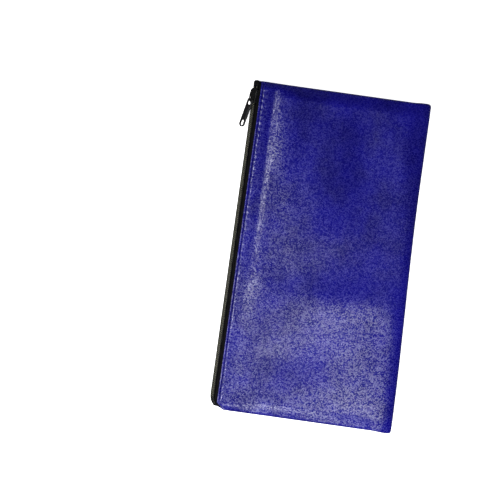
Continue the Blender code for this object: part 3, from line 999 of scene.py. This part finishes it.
@dataclass(frozen=True)
class BagShell:
    """The folded sheet: back panel, fold and front panel, turned in at both end seams."""

    form: BagForm
    roll: float = 0.0016
    seam_height: float = 0.0020
    seam_rise: float = 0.0032
    seam_gap: float = 0.00047
    allowance: float = 0.0036
    corner_round: float = 0.0034
    fold_depth: float = 0.0066
    fold_deepest: float = 0.0098
    hem_bead: float = 0.00055
    stitch_dip: float = 0.00070
    pucker: float = 0.00014
    swell_margin: float = 0.007
    swell_run: float = 0.012
    fold_margin: float = 0.003
    end_margin: float = 0.002
    end_run: float = 0.009
    seam_rise_run: float = 0.020
    closed_share: float = 0.3
    fold_pull: float = 0.6
    first_gap: float = 0.0045
    bead_inside: float = 0.0007
    bead_width: float = 0.0009
    groove_width: float = 0.0007
    pucker_inside: float = 0.0016
    pucker_width: float = 0.0026
    tape_step: float = 0.0013
    step_from: float = -0.040
    step_run: float = 0.070
    step_firm_from: float = 0.060
    step_firm_run: float = 0.040
    step_end_margin: float = 0.001
    step_end_run: float = 0.006
    step_inside: float = 0.0124
    step_width: float = 0.0033
    rumple: float = 0.00016
    end_rumple: float = 0.00022
    rumple_inside: float = 0.004
    rumple_width: float = 0.010
    rumple_run: float = 0.012
    back_lift: float = 0.0003
    ear: float = 0.0006
    ear_reach: float = 0.016
    ear_run: float = 0.010
    panel_run: float = 0.141
    fold_lead: float = 32.0
    slack_from: float = 0.30
    slack_run: float = 0.5
    row_step: float = 0.00094
    swells: tuple[Swell, ...] = (
        Swell(-42, 95, 34, 13, 90, 1.5),     # swell by the zipper, closed half
        Swell(22, 95, 40, 15, 90, -2.2),     # long valley in the closed half
        Swell(58, 95, 44, 10, 90, 1.2),      # ridge beside the fold
        Swell(-12, 18, 36, 20, 70, 1.8),     # middle swell
        Swell(-20, 60, 25, 15, 60, 0.5),     # low swell above it
        Swell(40, 30, 30, 15, 90, -0.6),     # shallow dip by the fold
        Swell(-45, -30, 25, 12, 90, 0.5),    # low rise along the zipper
        Swell(10, -38, 56, 17, 4, 2.2),      # broad swell across the slack half
        Swell(30, -70, 30, 20, 0, 0.5),      # its lower shoulder
        Swell(-14, -88, 34, 17, 10, -2.0),   # dent below it
        Swell(48, -105, 26, 16, 40, 1.0),    # corner swell by the fold, slack end
        Swell(-48, -95, 30, 12, 80, 1.0),    # corner swell by the zipper, slack end
        Swell(0, 118, 30, 12, 0, -0.5),      # dip across the closed end
    )

    def surface(self, x: np.ndarray, y: np.ndarray) -> np.ndarray:
        """Height of the front panel's outer face at x, y, with its swells, hem and stitch line."""
        form = self.form
        front = form.lip_x + form.corner_cut(y)
        inside = x - front
        level = form.top_z(x, y)
        fade = ramp((inside - self.swell_margin) / self.swell_run)
        fade = fade * ramp((form.fold_x(y) - self.fold_margin - x) / self.swell_run)
        fade = fade * ramp((form.half - np.abs(y) - self.end_margin) / self.end_run)
        level = level + fade * sum(swell(x, y) for swell in self.swells)
        firm = 0.50 + 0.50 * ramp((y - self.step_firm_from) / self.step_firm_run)
        along = ramp((y - self.step_from) / self.step_run) * firm
        along = along * ramp((form.half - np.abs(y) - self.step_end_margin) / self.step_end_run)
        level = level - self.tape_step * along * bell(inside - self.step_inside, self.step_width)
        level = level + fade * self.rumple * Wander(4, (0.013, 0.017))(x, y)
        near_end = bell(form.half - np.abs(y) - self.rumple_inside, self.rumple_width)
        ends = near_end * ramp(inside / self.rumple_run)
        level = level + ends * self.end_rumple * Wander(9, (0.0045, 0.012))(x, y)
        return level + self.hem(inside, y)

    def hem(self, inside: np.ndarray, y: np.ndarray) -> np.ndarray:
        """The front edge's bead, stitch groove and puckers, at a distance inside the edge."""
        form = self.form
        hole = 0.5 + 0.5 * np.cos(2 * np.pi * (y - self.first_hole) / form.stitch_pitch)
        sewn = ramp((y + form.half - form.corner_cut_y) / 0.002) * ramp((form.half - 0.002 - y) / 0.002)
        bead = self.hem_bead * bell(inside - self.bead_inside, self.bead_width)
        dip = -self.stitch_dip * bell(inside - form.stitch_inset, self.groove_width) * (0.45 + 0.55 * hole)
        uneven = 1 + 0.5 * Wander(21, (0.006, 0.0061))(inside, y)
        fold = self.pucker * (1 - 1.6 * hole) * uneven
        fold = fold * bell(inside - form.stitch_inset - self.pucker_inside, self.pucker_width)
        return bead + sewn * (dip + fold)

    @property
    def first_hole(self) -> float:
        """Y of the first needle hole, at the slack end."""
        return -self.form.half + self.form.corner_cut_y + self.first_gap

    def columns(self) -> np.ndarray:
        """Stage of each column round the section: 0 to 1 front panel, 1 to 2 fold, 2 to 3 back panel."""
        inside = [0, .3, .6, .9, 1.25, 1.6, 1.85, 2.1, 2.35, 2.7, 3.1, 3.6, 4.3, 5.2, 6.2, 7.3]
        near = np.array(inside) * MM / self.panel_run
        front = np.concatenate([near, np.linspace(near[-1], 1, 74)[1:]])
        fold = 1 + np.linspace(0, 1, 12)[1:]
        back = 2 + np.concatenate([np.linspace(0, 1, 44)[1:-5], 1 - near[8::-2] * 0.9])
        return np.concatenate([front, fold, back])

    def rows(self) -> tuple[np.ndarray, np.ndarray, np.ndarray]:
        """Rows of the grid along the bag.

        Returns:
            For each row its Y, how far it has rolled over the end (0 to 1), and its share of the turn-in.
        """
        main_half = self.form.half - self.form.wall / 2 - self.roll
        count = int(round(main_half / self.row_step))
        main = np.linspace(-main_half, main_half, 2 * count + 1)
        angles = np.radians([22.5, 45, 67.5, 90])
        ends_y = main_half + self.roll * np.sin(angles)
        tucks = np.array([0.04, 0.3, 1.0])
        tuck_y = ends_y[-1] - tucks * self.allowance
        out_y = np.concatenate([ends_y, tuck_y])
        out_roll = np.concatenate([1 - np.cos(angles), np.ones(3)])
        out_tuck = np.concatenate([np.zeros(4), tucks])
        y = np.concatenate([-out_y[::-1], main, out_y])
        rolled = np.concatenate([out_roll[::-1], np.zeros(len(main)), out_roll])
        tucked = np.concatenate([out_tuck[::-1], np.zeros(len(main)), out_tuck])
        return y, rolled, tucked

    def grid(self) -> np.ndarray:
        """The sheet's middle surface, rows by columns by 3."""
        form = self.form
        stage = self.columns()
        y, rolled, tucked = (a[:, None] for a in self.rows())
        wall = form.wall / 2
        base_y = np.clip(y, -form.half + 0.0003, form.half - 0.0003)
        front_x = form.lip_x + form.corner_cut(base_y)
        back_x = form.back_lip_x + form.corner_cut(base_y)
        fold = form.fold_x(base_y)
        slack = ramp((self.slack_from * form.length - base_y) / (self.slack_run * form.length))
        depth = lerp(self.fold_depth, self.fold_deepest, slack)
        height = form.top_z(fold - depth, base_y)
        radius = height / 2
        turn = fold - depth
        x = lerp(front_x + wall, turn, np.clip(stage, 0, 1))
        z = self.surface(x, base_y) - wall
        start = np.pi / 2 - math.radians(self.fold_lead)
        fall = np.clip(stage - 1, 0, 1)
        angle = np.where(fall < 0.5, start * (1 - 2 * fall), -np.pi * (fall - 0.5))
        over = np.where(angle > 0, 1 / np.sin(start), 1.0)
        reach = np.where(angle > 0, (np.cos(angle) - np.cos(start)) / (1 - np.cos(start)), np.cos(angle))
        on_fold = (stage > 1) & (stage <= 2)
        x = np.where(on_fold, turn + (depth - wall) * reach, x)
        z = np.where(on_fold, height / 2 + (radius - wall) * np.sin(angle) * over, z)
        back_run = lerp(turn, back_x + wall, np.clip(stage - 2, 0, 1))
        lift = self.back_lift * (1 + Wander(31, (0.02, 0.024))(back_run, base_y))
        lift = lift * ramp((back_run - back_x - 0.012) / 0.02)
        x = np.where(stage > 2, back_run, x)
        z = np.where(stage > 2, form.bottom_z(back_run, base_y) + wall + lift, z)
        side = np.where(stage <= 1, 1.0, np.where(stage >= 2, -1.0, np.clip(np.sin(angle) / 0.5, -1, 1)))
        x, z = self.seam(x, z, side, turn, rolled, tucked)
        y = np.broadcast_to(y, x.shape)
        x, y = self.round_corners(x, y, base_y)
        return np.stack([x, y, z], axis=-1)

    def seam(self, x: np.ndarray, z: np.ndarray, side: np.ndarray, turn: np.ndarray, rolled: np.ndarray,
             tucked: np.ndarray) -> tuple[np.ndarray, np.ndarray]:
        """Brings both panels together at the end seams and turns them in.

        Args:
            x, z: the section before.
            side: 1 on the front panel, -1 on the back panel.
            turn: X where the fold starts.
            rolled: how far each row has rolled over the end.
            tucked: each row's share of the turn-in.

        Returns:
            The section after.
        """
        form = self.form
        closed = ramp(tucked / self.closed_share)
        seam_z = self.seam_height + self.seam_rise * (1 - ramp((x - form.lip_x) / self.seam_rise_run))
        spread = lerp(2.0, 1.0, closed)
        target = seam_z + side * self.seam_gap * spread
        z = np.where(rolled > 0, lerp(z, target, rolled), z)
        pulled = np.where(x > turn, turn + (x - turn) * (1 - self.fold_pull * closed), x)
        return pulled, z

    def round_corners(self, x: np.ndarray, y: np.ndarray,
                      base_y: np.ndarray) -> tuple[np.ndarray, np.ndarray]:
        """Rounds the fold side's corners in plan, with a slight ear at each."""
        form, r = self.form, self.corner_round
        fold = form.fold_x(base_y)
        ear = self.ear * ramp((x - fold + self.ear_reach) / self.ear_run)
        ear = ear * ramp((np.abs(y) - form.half + self.ear_run) / self.ear_run)
        a = np.clip((x - fold + r) / r, 0, 1)
        b = np.clip((np.abs(y) - form.half + r) / r, 0, 1)
        new_x = np.where((a > 0) & (b > 0), fold - r + r * a * np.sqrt(1 - b**2 / 2), x)
        new_y = np.where((a > 0) & (b > 0), form.half - r + r * b * np.sqrt(1 - a**2 / 2), np.abs(y))
        return new_x, (new_y + ear) * np.sign(y)

    def build(self, finishes: Finishes) -> bpy.types.Object:
        """Makes the shell.

        Args:
            finishes: the bag's materials.

        Returns:
            The object.
        """
        points, faces = sheet_mesh(self.grid(), self.form.wall)
        shell = make_piece("bag_shell", points, faces, finishes.leatherette)
        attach(shell, "bag")
        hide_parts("shell")
        return shell


@dataclass(frozen=True)
class Zipper:
    """Two woven tapes, each with half of a nylon coil sewn to it."""

    chain: ChainForm
    filament: float = 0.00030
    core: float = 0.00018
    sewing: float = 0.00012
    steps: int = 10

    def tape_line(self, side: Side) -> np.ndarray:
        """Centre line of a tape as (x, z), from the chain to its tucked edge."""
        chain, bag, s = self.chain, self.chain.bag, side.value
        line = [(chain.x + w * chain.across.x + chain.tape_middle * chain.out.x,
                 chain.z + w * chain.across.z + chain.tape_middle * chain.out.z)
                for w in np.linspace(s * (chain.head + bag.gap), s * chain.tape_straight, 6)]
        front = side is Side.FRONT
        heading = chain.tilt if front else chain.tilt + math.pi
        final = 0.0 if front else 2 * math.pi
        radius = chain.front_bend if front else chain.back_bend
        steps = 8
        turn = (final - heading) / steps
        x, z = line[-1]
        for i in range(steps):
            angle = heading + turn * (i + 0.5)
            chord = 2 * radius * math.sin(abs(turn) / 2)
            x, z = x + chord * math.cos(angle), z + chord * math.sin(angle)
            line.append((x, z))
        end = max((bag.lip_x if front else bag.back_lip_x) + bag.tape_tuck, x + bag.tape_tuck / 2)
        return np.array(line + [(lerp(x, end, t), z) for t in (0.25, 0.5, 0.75, 1.0)])

    def build_tape(self, side: Side, finishes: Finishes) -> bpy.types.Object:
        """Makes one tape.

        Args:
            side: which half of the zipper.
            finishes: the bag's materials.

        Returns:
            The object.
        """
        chain, bag = self.chain, self.chain.bag
        line = self.tape_line(side)
        half = bag.pocket_end - bag.gap
        fine = np.linspace(bag.half - 0.020, half, 14)
        coarse = np.linspace(-bag.half + 0.020, bag.half - 0.020, 60)[1:-1]
        ys = np.concatenate([-fine[::-1], coarse, fine])
        middle = np.empty((len(ys), len(line), 3))
        for row, y in enumerate(ys):
            middle[row] = np.column_stack([line[:, 0] + chain.curl(y), np.full(len(line), y),
                                           bag.settle(line[:, 1], y)])
        points, faces = sheet_mesh(middle, bag.tape)
        name = side.name.lower() + "_tape_woven"
        tape = make_piece(name, points, faces, finishes.tape)
        runs = np.concatenate([[0], np.cumsum(np.linalg.norm(np.diff(line, axis=0), axis=1))])
        self.map_run(tape, line, runs)
        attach(tape, "bag")
        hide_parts(side.name.lower() + "_tape")
        return tape

    def map_run(self, tape: bpy.types.Object, line: np.ndarray, runs: np.ndarray) -> None:
        """Writes the tape's own map: U across it and V along it, in metres."""
        count = len(tape.data.vertices)
        points = np.empty(count * 3)
        tape.data.vertices.foreach_get("co", points)
        points = points.reshape(-1, 3)
        flat_x = points[:, 0] - self.chain.curl(points[:, 1])
        squash = self.chain.bag.squash(points[:, 1])
        flat_z = self.chain.bag.back_tape_z + (points[:, 2] - self.chain.bag.back_tape_z) / squash
        gaps = (flat_x[:, None] - line[:, 0]) ** 2 + (flat_z[:, None] - line[:, 1]) ** 2
        across = runs[gaps.argmin(axis=1)]
        layer = tape.data.uv_layers.new(name="tape_run")
        corner = np.empty(len(tape.data.loops), int)
        tape.data.loops.foreach_get("vertex_index", corner)
        layer.data.foreach_set("uv", np.column_stack([across[corner], points[corner, 1]]).reshape(-1))

    def coil_place(self, side: Side, start: float) -> Callable[[np.ndarray], np.ndarray]:
        """Puts a straight winding on its half of the chain."""
        chain = self.chain
        centre_n = (chain.above - chain.below) / 2
        reach = (chain.outer + chain.head) / 2 - self.filament
        centre_w = chain.outer - self.filament - reach

        def place(points: np.ndarray) -> np.ndarray:
            y = points[:, 1] + start
            w = side.value * (points[:, 0] + centre_w + chain.parting(y))
            return chain.points(w, points[:, 2] + centre_n, y)

        return place

    def build_coil(self, side: Side, maker: NodeMaker, finishes: Finishes) -> bpy.types.Object:
        """Makes one half of the coil.

        Args:
            side: which half of the zipper.
            maker: the Geometry Nodes trees.
            finishes: the bag's materials.

        Returns:
            The object.
        """
        chain, bag = self.chain, self.chain.bag
        low, high = -bag.pocket_end + bag.gap, bag.half - chain.short
        offset = 0.25 if side is Side.FRONT else 0.75
        turns = int((high - low) / chain.pitch) - 1
        values = {"Turns": turns, "Steps": self.steps, "Pitch": chain.pitch,
                  "Reach": (chain.outer + chain.head) / 2 - self.filament,
                  "Rise": (chain.above + chain.below) / 2 - self.filament, "Radius": self.filament,
                  "Head": 0.15, "Material": finishes.nylon}
        coil = maker.run(maker.filament, side.name.lower() + "_coil_winding", values,
                         self.coil_place(side, low + offset * chain.pitch))
        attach(coil, "bag")
        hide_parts(side.name.lower() + "_coil")
        return coil

    def build_sewing(self, side: Side, maker: NodeMaker, finishes: Finishes) -> list[bpy.types.Object]:
        """Makes the cord inside one half of the coil and the row that sews the coil down.

        Args:
            side: which half of the zipper.
            maker: the Geometry Nodes trees.
            finishes: the bag's materials.

        Returns:
            The two objects.
        """
        chain, bag = self.chain, self.chain.bag
        low, high = -bag.pocket_end + 2 * bag.gap, bag.half - chain.short - bag.gap
        turns = int((high - low) / chain.pitch) - 1
        start = low + chain.pitch * (0.5 if side is Side.FRONT else 1.0)
        made = []
        rows = (("core_cord", 0.0010, 0.00008, 0.0, self.core),
                ("coil_sewing", 0.00150, chain.above - 0.00006, 0.00016, self.sewing))
        for what, w, n, rise, radius in rows:
            def place(points: np.ndarray, w: float = w, n: float = n) -> np.ndarray:
                y = points[:, 1] + start
                return chain.points(side.value * (points[:, 0] + w + chain.parting(y)), points[:, 2] + n, y)
            values = {"Turns": turns, "Steps": 4, "Pitch": chain.pitch, "Reach": 0.0, "Rise": rise,
                      "Lean": 0.0, "Radius": radius, "Head": 0.0, "Sides": 5,
                      "Material": finishes.black_thread}
            piece = maker.run(maker.filament, f"{side.name.lower()}_{what}", values, place)
            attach(piece, "bag")
            made.append(piece)
        return made

    def build_end_wrap(self, finishes: Finishes) -> bpy.types.Object:
        """Makes the folded tape end that shows at the closed end of the chain.

        Args:
            finishes: the bag's materials.

        Returns:
            The object.
        """
        chain, bag = self.chain, self.chain.bag
        rings = []
        ys = np.array([-4.2, -4.0, -3.0, -1.8, -0.8, -0.2, 0.15, 0.3]) * MM + bag.half
        sizes = np.array([0.55, 0.86, 1.0, 1.0, 0.93, 0.78, 0.5, 0.15])
        angles = np.linspace(0, 2 * math.pi, 25)[:-1]
        half_wide, half_thick, lowered = 0.0036, 0.00155, 0.0001
        for y, size in zip(ys, sizes):
            w = np.sign(np.cos(angles)) * np.abs(np.cos(angles)) ** 0.7 * half_wide * size
            n = np.sign(np.sin(angles)) * np.abs(np.sin(angles)) ** 0.8 * half_thick * size - lowered
            rings.append(chain.points(w, n, np.full(len(angles), y)))
        points, faces = rings_mesh(rings)
        wrap = make_piece("zipper_end_wrap", points, faces, finishes.tape)
        layer = wrap.data.uv_layers.new(name="tape_run")
        corner = [wrap.data.vertices[loop.vertex_index].co for loop in wrap.data.loops]
        layer.data.foreach_set("uv", [v for c in corner for v in (c.z * 1.3, c.y)])
        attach(wrap, "bag")
        return wrap


@dataclass(frozen=True)
class Stitching:
    """The rows of lockstitch that sew the zipper in."""

    shell: BagShell
    thread: float = 0.00045
    stitch: float = 0.0037

    def one_stitch(self, material: bpy.types.Material) -> bpy.types.Object:
        """A single stitch along Y: an arched thread that dips into the cloth at both ends."""
        rings = []
        for t in np.linspace(-1, 1, 9):
            size = self.thread / 2 * (1 - 0.45 * abs(t) ** 6)
            angles = np.linspace(0, 2 * math.pi, 7)[:-1]
            lift = self.thread * 0.55 - self.thread * 1.7 * abs(t) ** 5
            rings.append(np.column_stack([size * np.cos(angles), np.full(len(angles), t * self.stitch / 2),
                                          lift + 0.85 * size * np.sin(angles)]))
        points, faces = rings_mesh(rings)
        return make_piece("one_stitch", points, faces, material)

    def build_row(self, side: Side, maker: NodeMaker, finishes: Finishes) -> bpy.types.Object:
        """Makes one row.

        Args:
            side: which panel it sews.
            maker: the Geometry Nodes trees.
            finishes: the bag's materials.

        Returns:
            The object.
        """
        form, shell = self.shell.form, self.shell
        first = shell.first_hole + form.stitch_pitch / 2
        count = int((form.pocket_end - first) / form.stitch_pitch + 0.5)
        one = self.one_stitch(finishes.thread)
        front = side is Side.FRONT

        def place(points: np.ndarray) -> np.ndarray:
            y = points[:, 1]
            if front:
                line = form.lip_x + form.corner_cut(y) + form.stitch_inset
                sway = 0.00008 * np.sin(y * 470.0) + 0.00006 * np.sin(y * 1310.0)
                base = form.top_z(line, y) - 0.55 * shell.stitch_dip
                return np.column_stack([line + sway + points[:, 0], y, base + points[:, 2]])
            line = form.back_lip_x + form.corner_cut(y) + form.stitch_inset
            base = form.bottom_z(line, y) + 0.00002
            return np.column_stack([line - points[:, 0], y, base - 0.8 * points[:, 2]])

        row = maker.run(maker.row, side.name.lower() + "_lockstitch",
                        {"Piece": one, "Count": count, "Pitch": form.stitch_pitch, "Start": first,
                         "Material": finishes.thread}, place)
        bpy.data.objects.remove(one, do_unlink=True)
        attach(row, "bag")
        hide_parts(side.name.lower() + "_topstitch")
        return row


@dataclass(frozen=True)
class Slider:
    """Cast slider: two plates joined by a post, with flanges and a bail over the top."""

    chain: ChainForm
    length: float = 0.0130
    tail_half: float = 0.0034
    nose_half: float = 0.0047
    flange: float = 0.0007
    top: tuple[float, float] = (0.0012, 0.0019)
    bottom: tuple[float, float] = (-0.00245, -0.00175)
    flange_low: float = -0.00075
    post_half: float = 0.0007
    post_y: float = 0.0027
    post_length: float = 0.0038
    bail_width: float = 0.0011
    bail_thick: float = 0.0009
    bail_rear: float = 0.0046
    bail_front: float = 0.0036
    bail_under: float = 0.004495
    edge: float = 0.00022

    def outline(self, shrink: float) -> list[tuple[float, float]]:
        """Plan of a plate, anticlockwise, as (w, y)."""
        half, tail, nose = self.length / 2, self.tail_half - shrink, self.nose_half - shrink
        c = self.flange * 1.4
        right = [(tail - c, -half), (tail, -half + c), (tail, self.chain.throat_tail),
                 (nose, self.chain.throat_nose), (nose, half - c * 1.8), (nose - c * 1.8, half)]
        return right + [(-w, y) for w, y in right[::-1]]

    def world(self, solid: Solid) -> Solid:
        """The solid moved from the slider's own frame to the shared frame."""
        points, faces = solid
        chain = self.chain
        y = points[:, 1] + chain.slider_y
        x = chain.x + points[:, 0] * chain.across.x + points[:, 2] * chain.out.x
        z = chain.z + points[:, 0] * chain.across.z + points[:, 2] * chain.out.z
        return np.column_stack([x, y, z]), faces

    def flange_wall(self, sign: int) -> Solid:
        """One flange, along one side of the top plate."""
        outer = [p for p in self.outline(0.00004) if p[0] > 0][1:5]
        inner = [(w - self.flange, y) for w, y in outer[::-1]]
        loop = np.array(outer + inner)
        loop[:, 0] *= sign
        if sign < 0:
            loop = loop[::-1]
        return soft_prism(loop, self.flange_low, self.top[0] + 0.0003, 0.00016)

    def bail(self) -> Solid:
        """The arch that holds the pull tab."""
        t, over = self.bail_thick, self.bail_under + self.bail_thick / 2
        rear, front, foot = -self.bail_rear - t / 2, self.bail_front, self.top[1] - 0.0004
        path = rounded_path([(rear, foot), (rear, over - 1.6 * t), (rear + 0.5 * t, over - 0.25 * t),
                             (rear + 1.4 * t, over), (front - 2.2 * t, over),
                             (front - 0.2 * t, over - 1.1 * t),
                             (front + 1.4 * t, self.top[1] + 0.9 * t), (front + 1.5 * t, foot)])
        along = np.gradient(path, axis=0)
        along /= np.linalg.norm(along, axis=1, keepdims=True)
        normal = np.column_stack([-along[:, 1], along[:, 0]])
        corner = [(1, .45), (.8, .85), (.45, 1), (-.45, 1), (-.8, .85), (-1, .45),
                  (-1, -.45), (-.8, -.85), (-.45, -1), (.45, -1), (.8, -.85), (1, -.45)]
        rings = []
        for place, out in zip(path, normal):
            flare = 1 + 0.35 * max(0.0, 1 - (place[1] - foot) / 0.0012)
            rings.append(np.array([(a * self.bail_width / 2 * flare, place[0] + out[0] * b * t / 2,
                                    place[1] + out[1] * b * t / 2) for a, b in corner]))
        return rings_mesh(rings)

    def build(self, finishes: Finishes) -> bpy.types.Object:
        """Makes the slider.

        Args:
            finishes: the bag's materials.

        Returns:
            The object.
        """
        plan = rounded_loop(self.outline(0))
        tip, post_y, h = self.post_length, self.post_y, self.post_half
        diamond = np.array([(0, post_y - tip * 0.6), (h, post_y), (h, post_y + tip * 0.4),
                            (0, post_y + tip * 0.9), (-h, post_y + tip * 0.4), (-h, post_y)])
        solids = [soft_prism(plan, *self.top, self.edge), soft_prism(plan, *self.bottom, self.edge),
                  self.flange_wall(1), self.flange_wall(-1),
                  soft_prism(diamond, self.bottom[1] - 0.0003, self.top[0] + 0.0003, 0.0001), self.bail()]
        body = join_solids("slider_casting", [self.world(s) for s in solids], [], finishes.slider)
        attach(body, "slider")
        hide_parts("slider_body")
        return body


@dataclass(frozen=True)
class PullTab:
    """Cast tab: a bar under the bail, two legs, a raised solid middle and a ring at the tip."""

    hinge: tuple[float, float, float]
    axis: tuple[float, float, float]
    along: tuple[float, float, float] = (-0.2076, -0.9697, -0.1287)
    length: float = 0.0250
    width: float = 0.0060
    thick: float = 0.0012
    bar: float = 0.0006
    slot_length: float = 0.0042
    slot_width: float = 0.0032
    hole_length: float = 0.0050
    hole_width: float = 0.0030
    rim: float = 0.0011
    raised: float = 0.00028
    pad_margin: float = 0.0008
    ring_margin: float = 0.00035

    @staticmethod
    def capsule(half: float, start: float, end: float, corner: float, steps: int = 8) -> np.ndarray:
        """Outline with rounded ends, anticlockwise, as (across, along)."""
        points = []
        quarters = ((1, end, -1, 0), (-1, end, -1, 1), (-1, start, 1, 2), (1, start, 1, 3))
        for sign_a, b, sign_b, first in quarters:
            for i in range(steps + 1):
                angle = math.pi / 2 * (first + i / steps)
                points.append((sign_a * (half - corner) + corner * math.cos(angle),
                               b + sign_b * corner + corner * math.sin(angle)))
        return np.array(points)

    def world(self, solid: Solid) -> Solid:
        """The solid moved from the tab's own frame to the shared frame."""
        points, faces = solid
        axis, along = np.array(self.axis), np.array(self.along)
        turned = np.stack([axis, along, np.cross(axis, along)])
        return points @ turned + np.array(self.hinge), faces

    def build(self, finishes: Finishes) -> bpy.types.Object:
        """Makes the tab.

        Args:
            finishes: the bag's materials.

        Returns:
            The object.
        """
        half, t, head = self.width / 2, self.thick / 2, -self.bar
        tip = self.length - self.bar
        leg = (self.width - self.slot_width) / 2
        plan = self.capsule(half, head, tip, half * 0.96)
        square = np.array([(-half, head), (half, head), (half, half), (-half, half)])
        blunt = rounded_loop(square, 2)
        slot = self.capsule(half - leg, self.bar, self.slot_length + self.bar, half - leg - 0.0003)
        hole_end = tip - self.rim
        hole_start = hole_end - self.hole_length
        hole = self.capsule(self.hole_width / 2, hole_start, hole_end, self.hole_width / 2 * 0.96)
        margin = self.pad_margin
        pad_start, pad_end = self.slot_length + self.bar + margin, hole_start - margin
        pad = self.capsule(half - margin, pad_start, pad_end, margin)
        ring_half, ring_end = half - self.ring_margin, tip - self.ring_margin
        ring = self.capsule(ring_half, hole_start - 0.0002, ring_end, half * 0.80)
        solids = [soft_prism(plan, -t, t, 0.0003), soft_prism(blunt, -t, t, 0.0003),
                  soft_prism(pad, -t - self.raised, t + self.raised, 0.00024),
                  soft_prism(ring, -t - 0.00012, t + 0.00012, 0.0002)]
        cuts = [soft_prism(slot, -3 * t, 3 * t, 0.0001), soft_prism(hole, -3 * t, 3 * t, 0.0001)]
        tab = join_solids("pull_tab_casting", [self.world(s) for s in solids],
                          [self.world(s) for s in cuts], finishes.tab)
        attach(tab, "pull")
        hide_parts("pull_tab")
        return tab


@dataclass(frozen=True)
class SoftLight:
    """One large lamp, aimed at the bag."""

    name: str
    place: tuple[float, float, float]
    size: float
    power: float
    colour: tuple[float, float, float] = (1.0, 1.0, 1.0)

    def build(self) -> None:
        """Adds the lamp."""
        lamp = bpy.data.lights.new(self.name, "AREA")
        lamp.size, lamp.energy, lamp.color = self.size, self.power, self.colour
        obj = bpy.data.objects.new(self.name, lamp)
        obj.location = self.place
        obj.rotation_euler = (-Vector(self.place)).to_track_quat("-Z", "Y").to_euler()
        obj.visible_camera = False
        bpy.context.scene.collection.objects.link(obj)


@dataclass(frozen=True)
class Studio:
    """White table, soft lights and the camera overhead."""

    camera: tuple[float, float, float] = (-0.0600, -0.0028, 1.5)
    turn: float = math.radians(8.0)
    lens: float = 127.6
    sensor: float = 36.0
    table: float = 6.0
    glow: float = 1.0
    sky: float = 0.05
    lights: tuple[SoftLight, ...] = (
        SoftLight("side_light", (-0.50, -0.10, 0.85), 0.24, 7.5),
        SoftLight("low_light", (-0.05, -0.60, 0.40), 0.18, 2.6),
        SoftLight("over_light", (0.12, -0.20, 0.45), 0.10, 1.1),
    )

    def build(self) -> None:
        """Adds the table, the lights and the camera."""
        scene = bpy.context.scene
        scene.view_settings.view_transform = "Standard"
        half = self.table / 2
        material, wire, shader = new_material("white_table")
        place = wire.add("ShaderNodeTexCoord").outputs["Object"]
        haze = wire.add("ShaderNodeTexNoise", {"Vector": place, "Scale": 3.0})
        wire.tree.links.new(wire.mixed(haze.outputs["Fac"], (0.90, 0.90, 0.90, 1), (0.93, 0.93, 0.93, 1)),
                            shader.inputs["Base Color"])
        set_shader(shader, Roughness=0.9, Specular_IOR_Level=0.1, Emission_Strength=self.glow)
        shader.inputs["Emission Color"].default_value = (1, 1, 1, 1)
        corners = [(-half, -half, 0), (half, -half, 0), (half, half, 0), (-half, half, 0)]
        table = make_piece("table", corners, [(0, 1, 2, 3)], material)
        table.visible_glossy = False
        world = bpy.data.worlds.new("studio_air")
        world.use_nodes = True
        world.node_tree.nodes["Background"].inputs[0].default_value = (1, 1, 1, 1)
        world.node_tree.nodes["Background"].inputs[1].default_value = self.sky
        scene.world = world
        for light in self.lights:
            light.build()
        data = bpy.data.cameras.new("view")
        data.lens, data.sensor_width = self.lens, self.sensor
        camera = bpy.data.objects.new("view", data)
        camera.location = self.camera
        camera.rotation_euler = (0, 0, self.turn)
        scene.collection.objects.link(camera)
        scene.camera = camera


def dress_seam_threads(finishes: Finishes) -> None:
    """Gives the end seams' own threads the thread finish."""
    for name in ("closed_end_seam_thread", "slack_end_seam_thread"):
        node = frame["nodes"][name]
        for held in node.material_slots:
            held.material = finishes.thread


def report(piece: bpy.types.Object) -> None:
    """Logs a finished piece."""
    LOG.info("%s: %d faces", piece.name, len(piece.data.polygons))


def main() -> None:
    """Builds the bag, piece by piece, and then the studio."""
    logging.basicConfig(level=logging.INFO, format="%(name)s: %(message)s")
    Studio().build()
    finishes, maker = Finishes(), NodeMaker()
    form = BagForm()
    chain = ChainForm(form)
    shell = BagShell(form)
    zipper = Zipper(chain)
    report(shell.build(finishes))
    for side in Side:
        report(zipper.build_tape(side, finishes))
        report(zipper.build_coil(side, maker, finishes))
        for piece in zipper.build_sewing(side, maker, finishes):
            report(piece)
        report(Stitching(shell).build_row(side, maker, finishes))
    report(zipper.build_end_wrap(finishes))
    dress_seam_threads(finishes)
    report(Slider(chain).build(finishes))
    pivot = next(j for j in frame["record"]["behaviour"]["joints"] if j["name"] == "pull_tab_hinge")
    report(PullTab(tuple(pivot["pos_m"]), tuple(pivot["axis"])).build(finishes))
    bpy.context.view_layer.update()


if __name__ == "__main__":
    main()
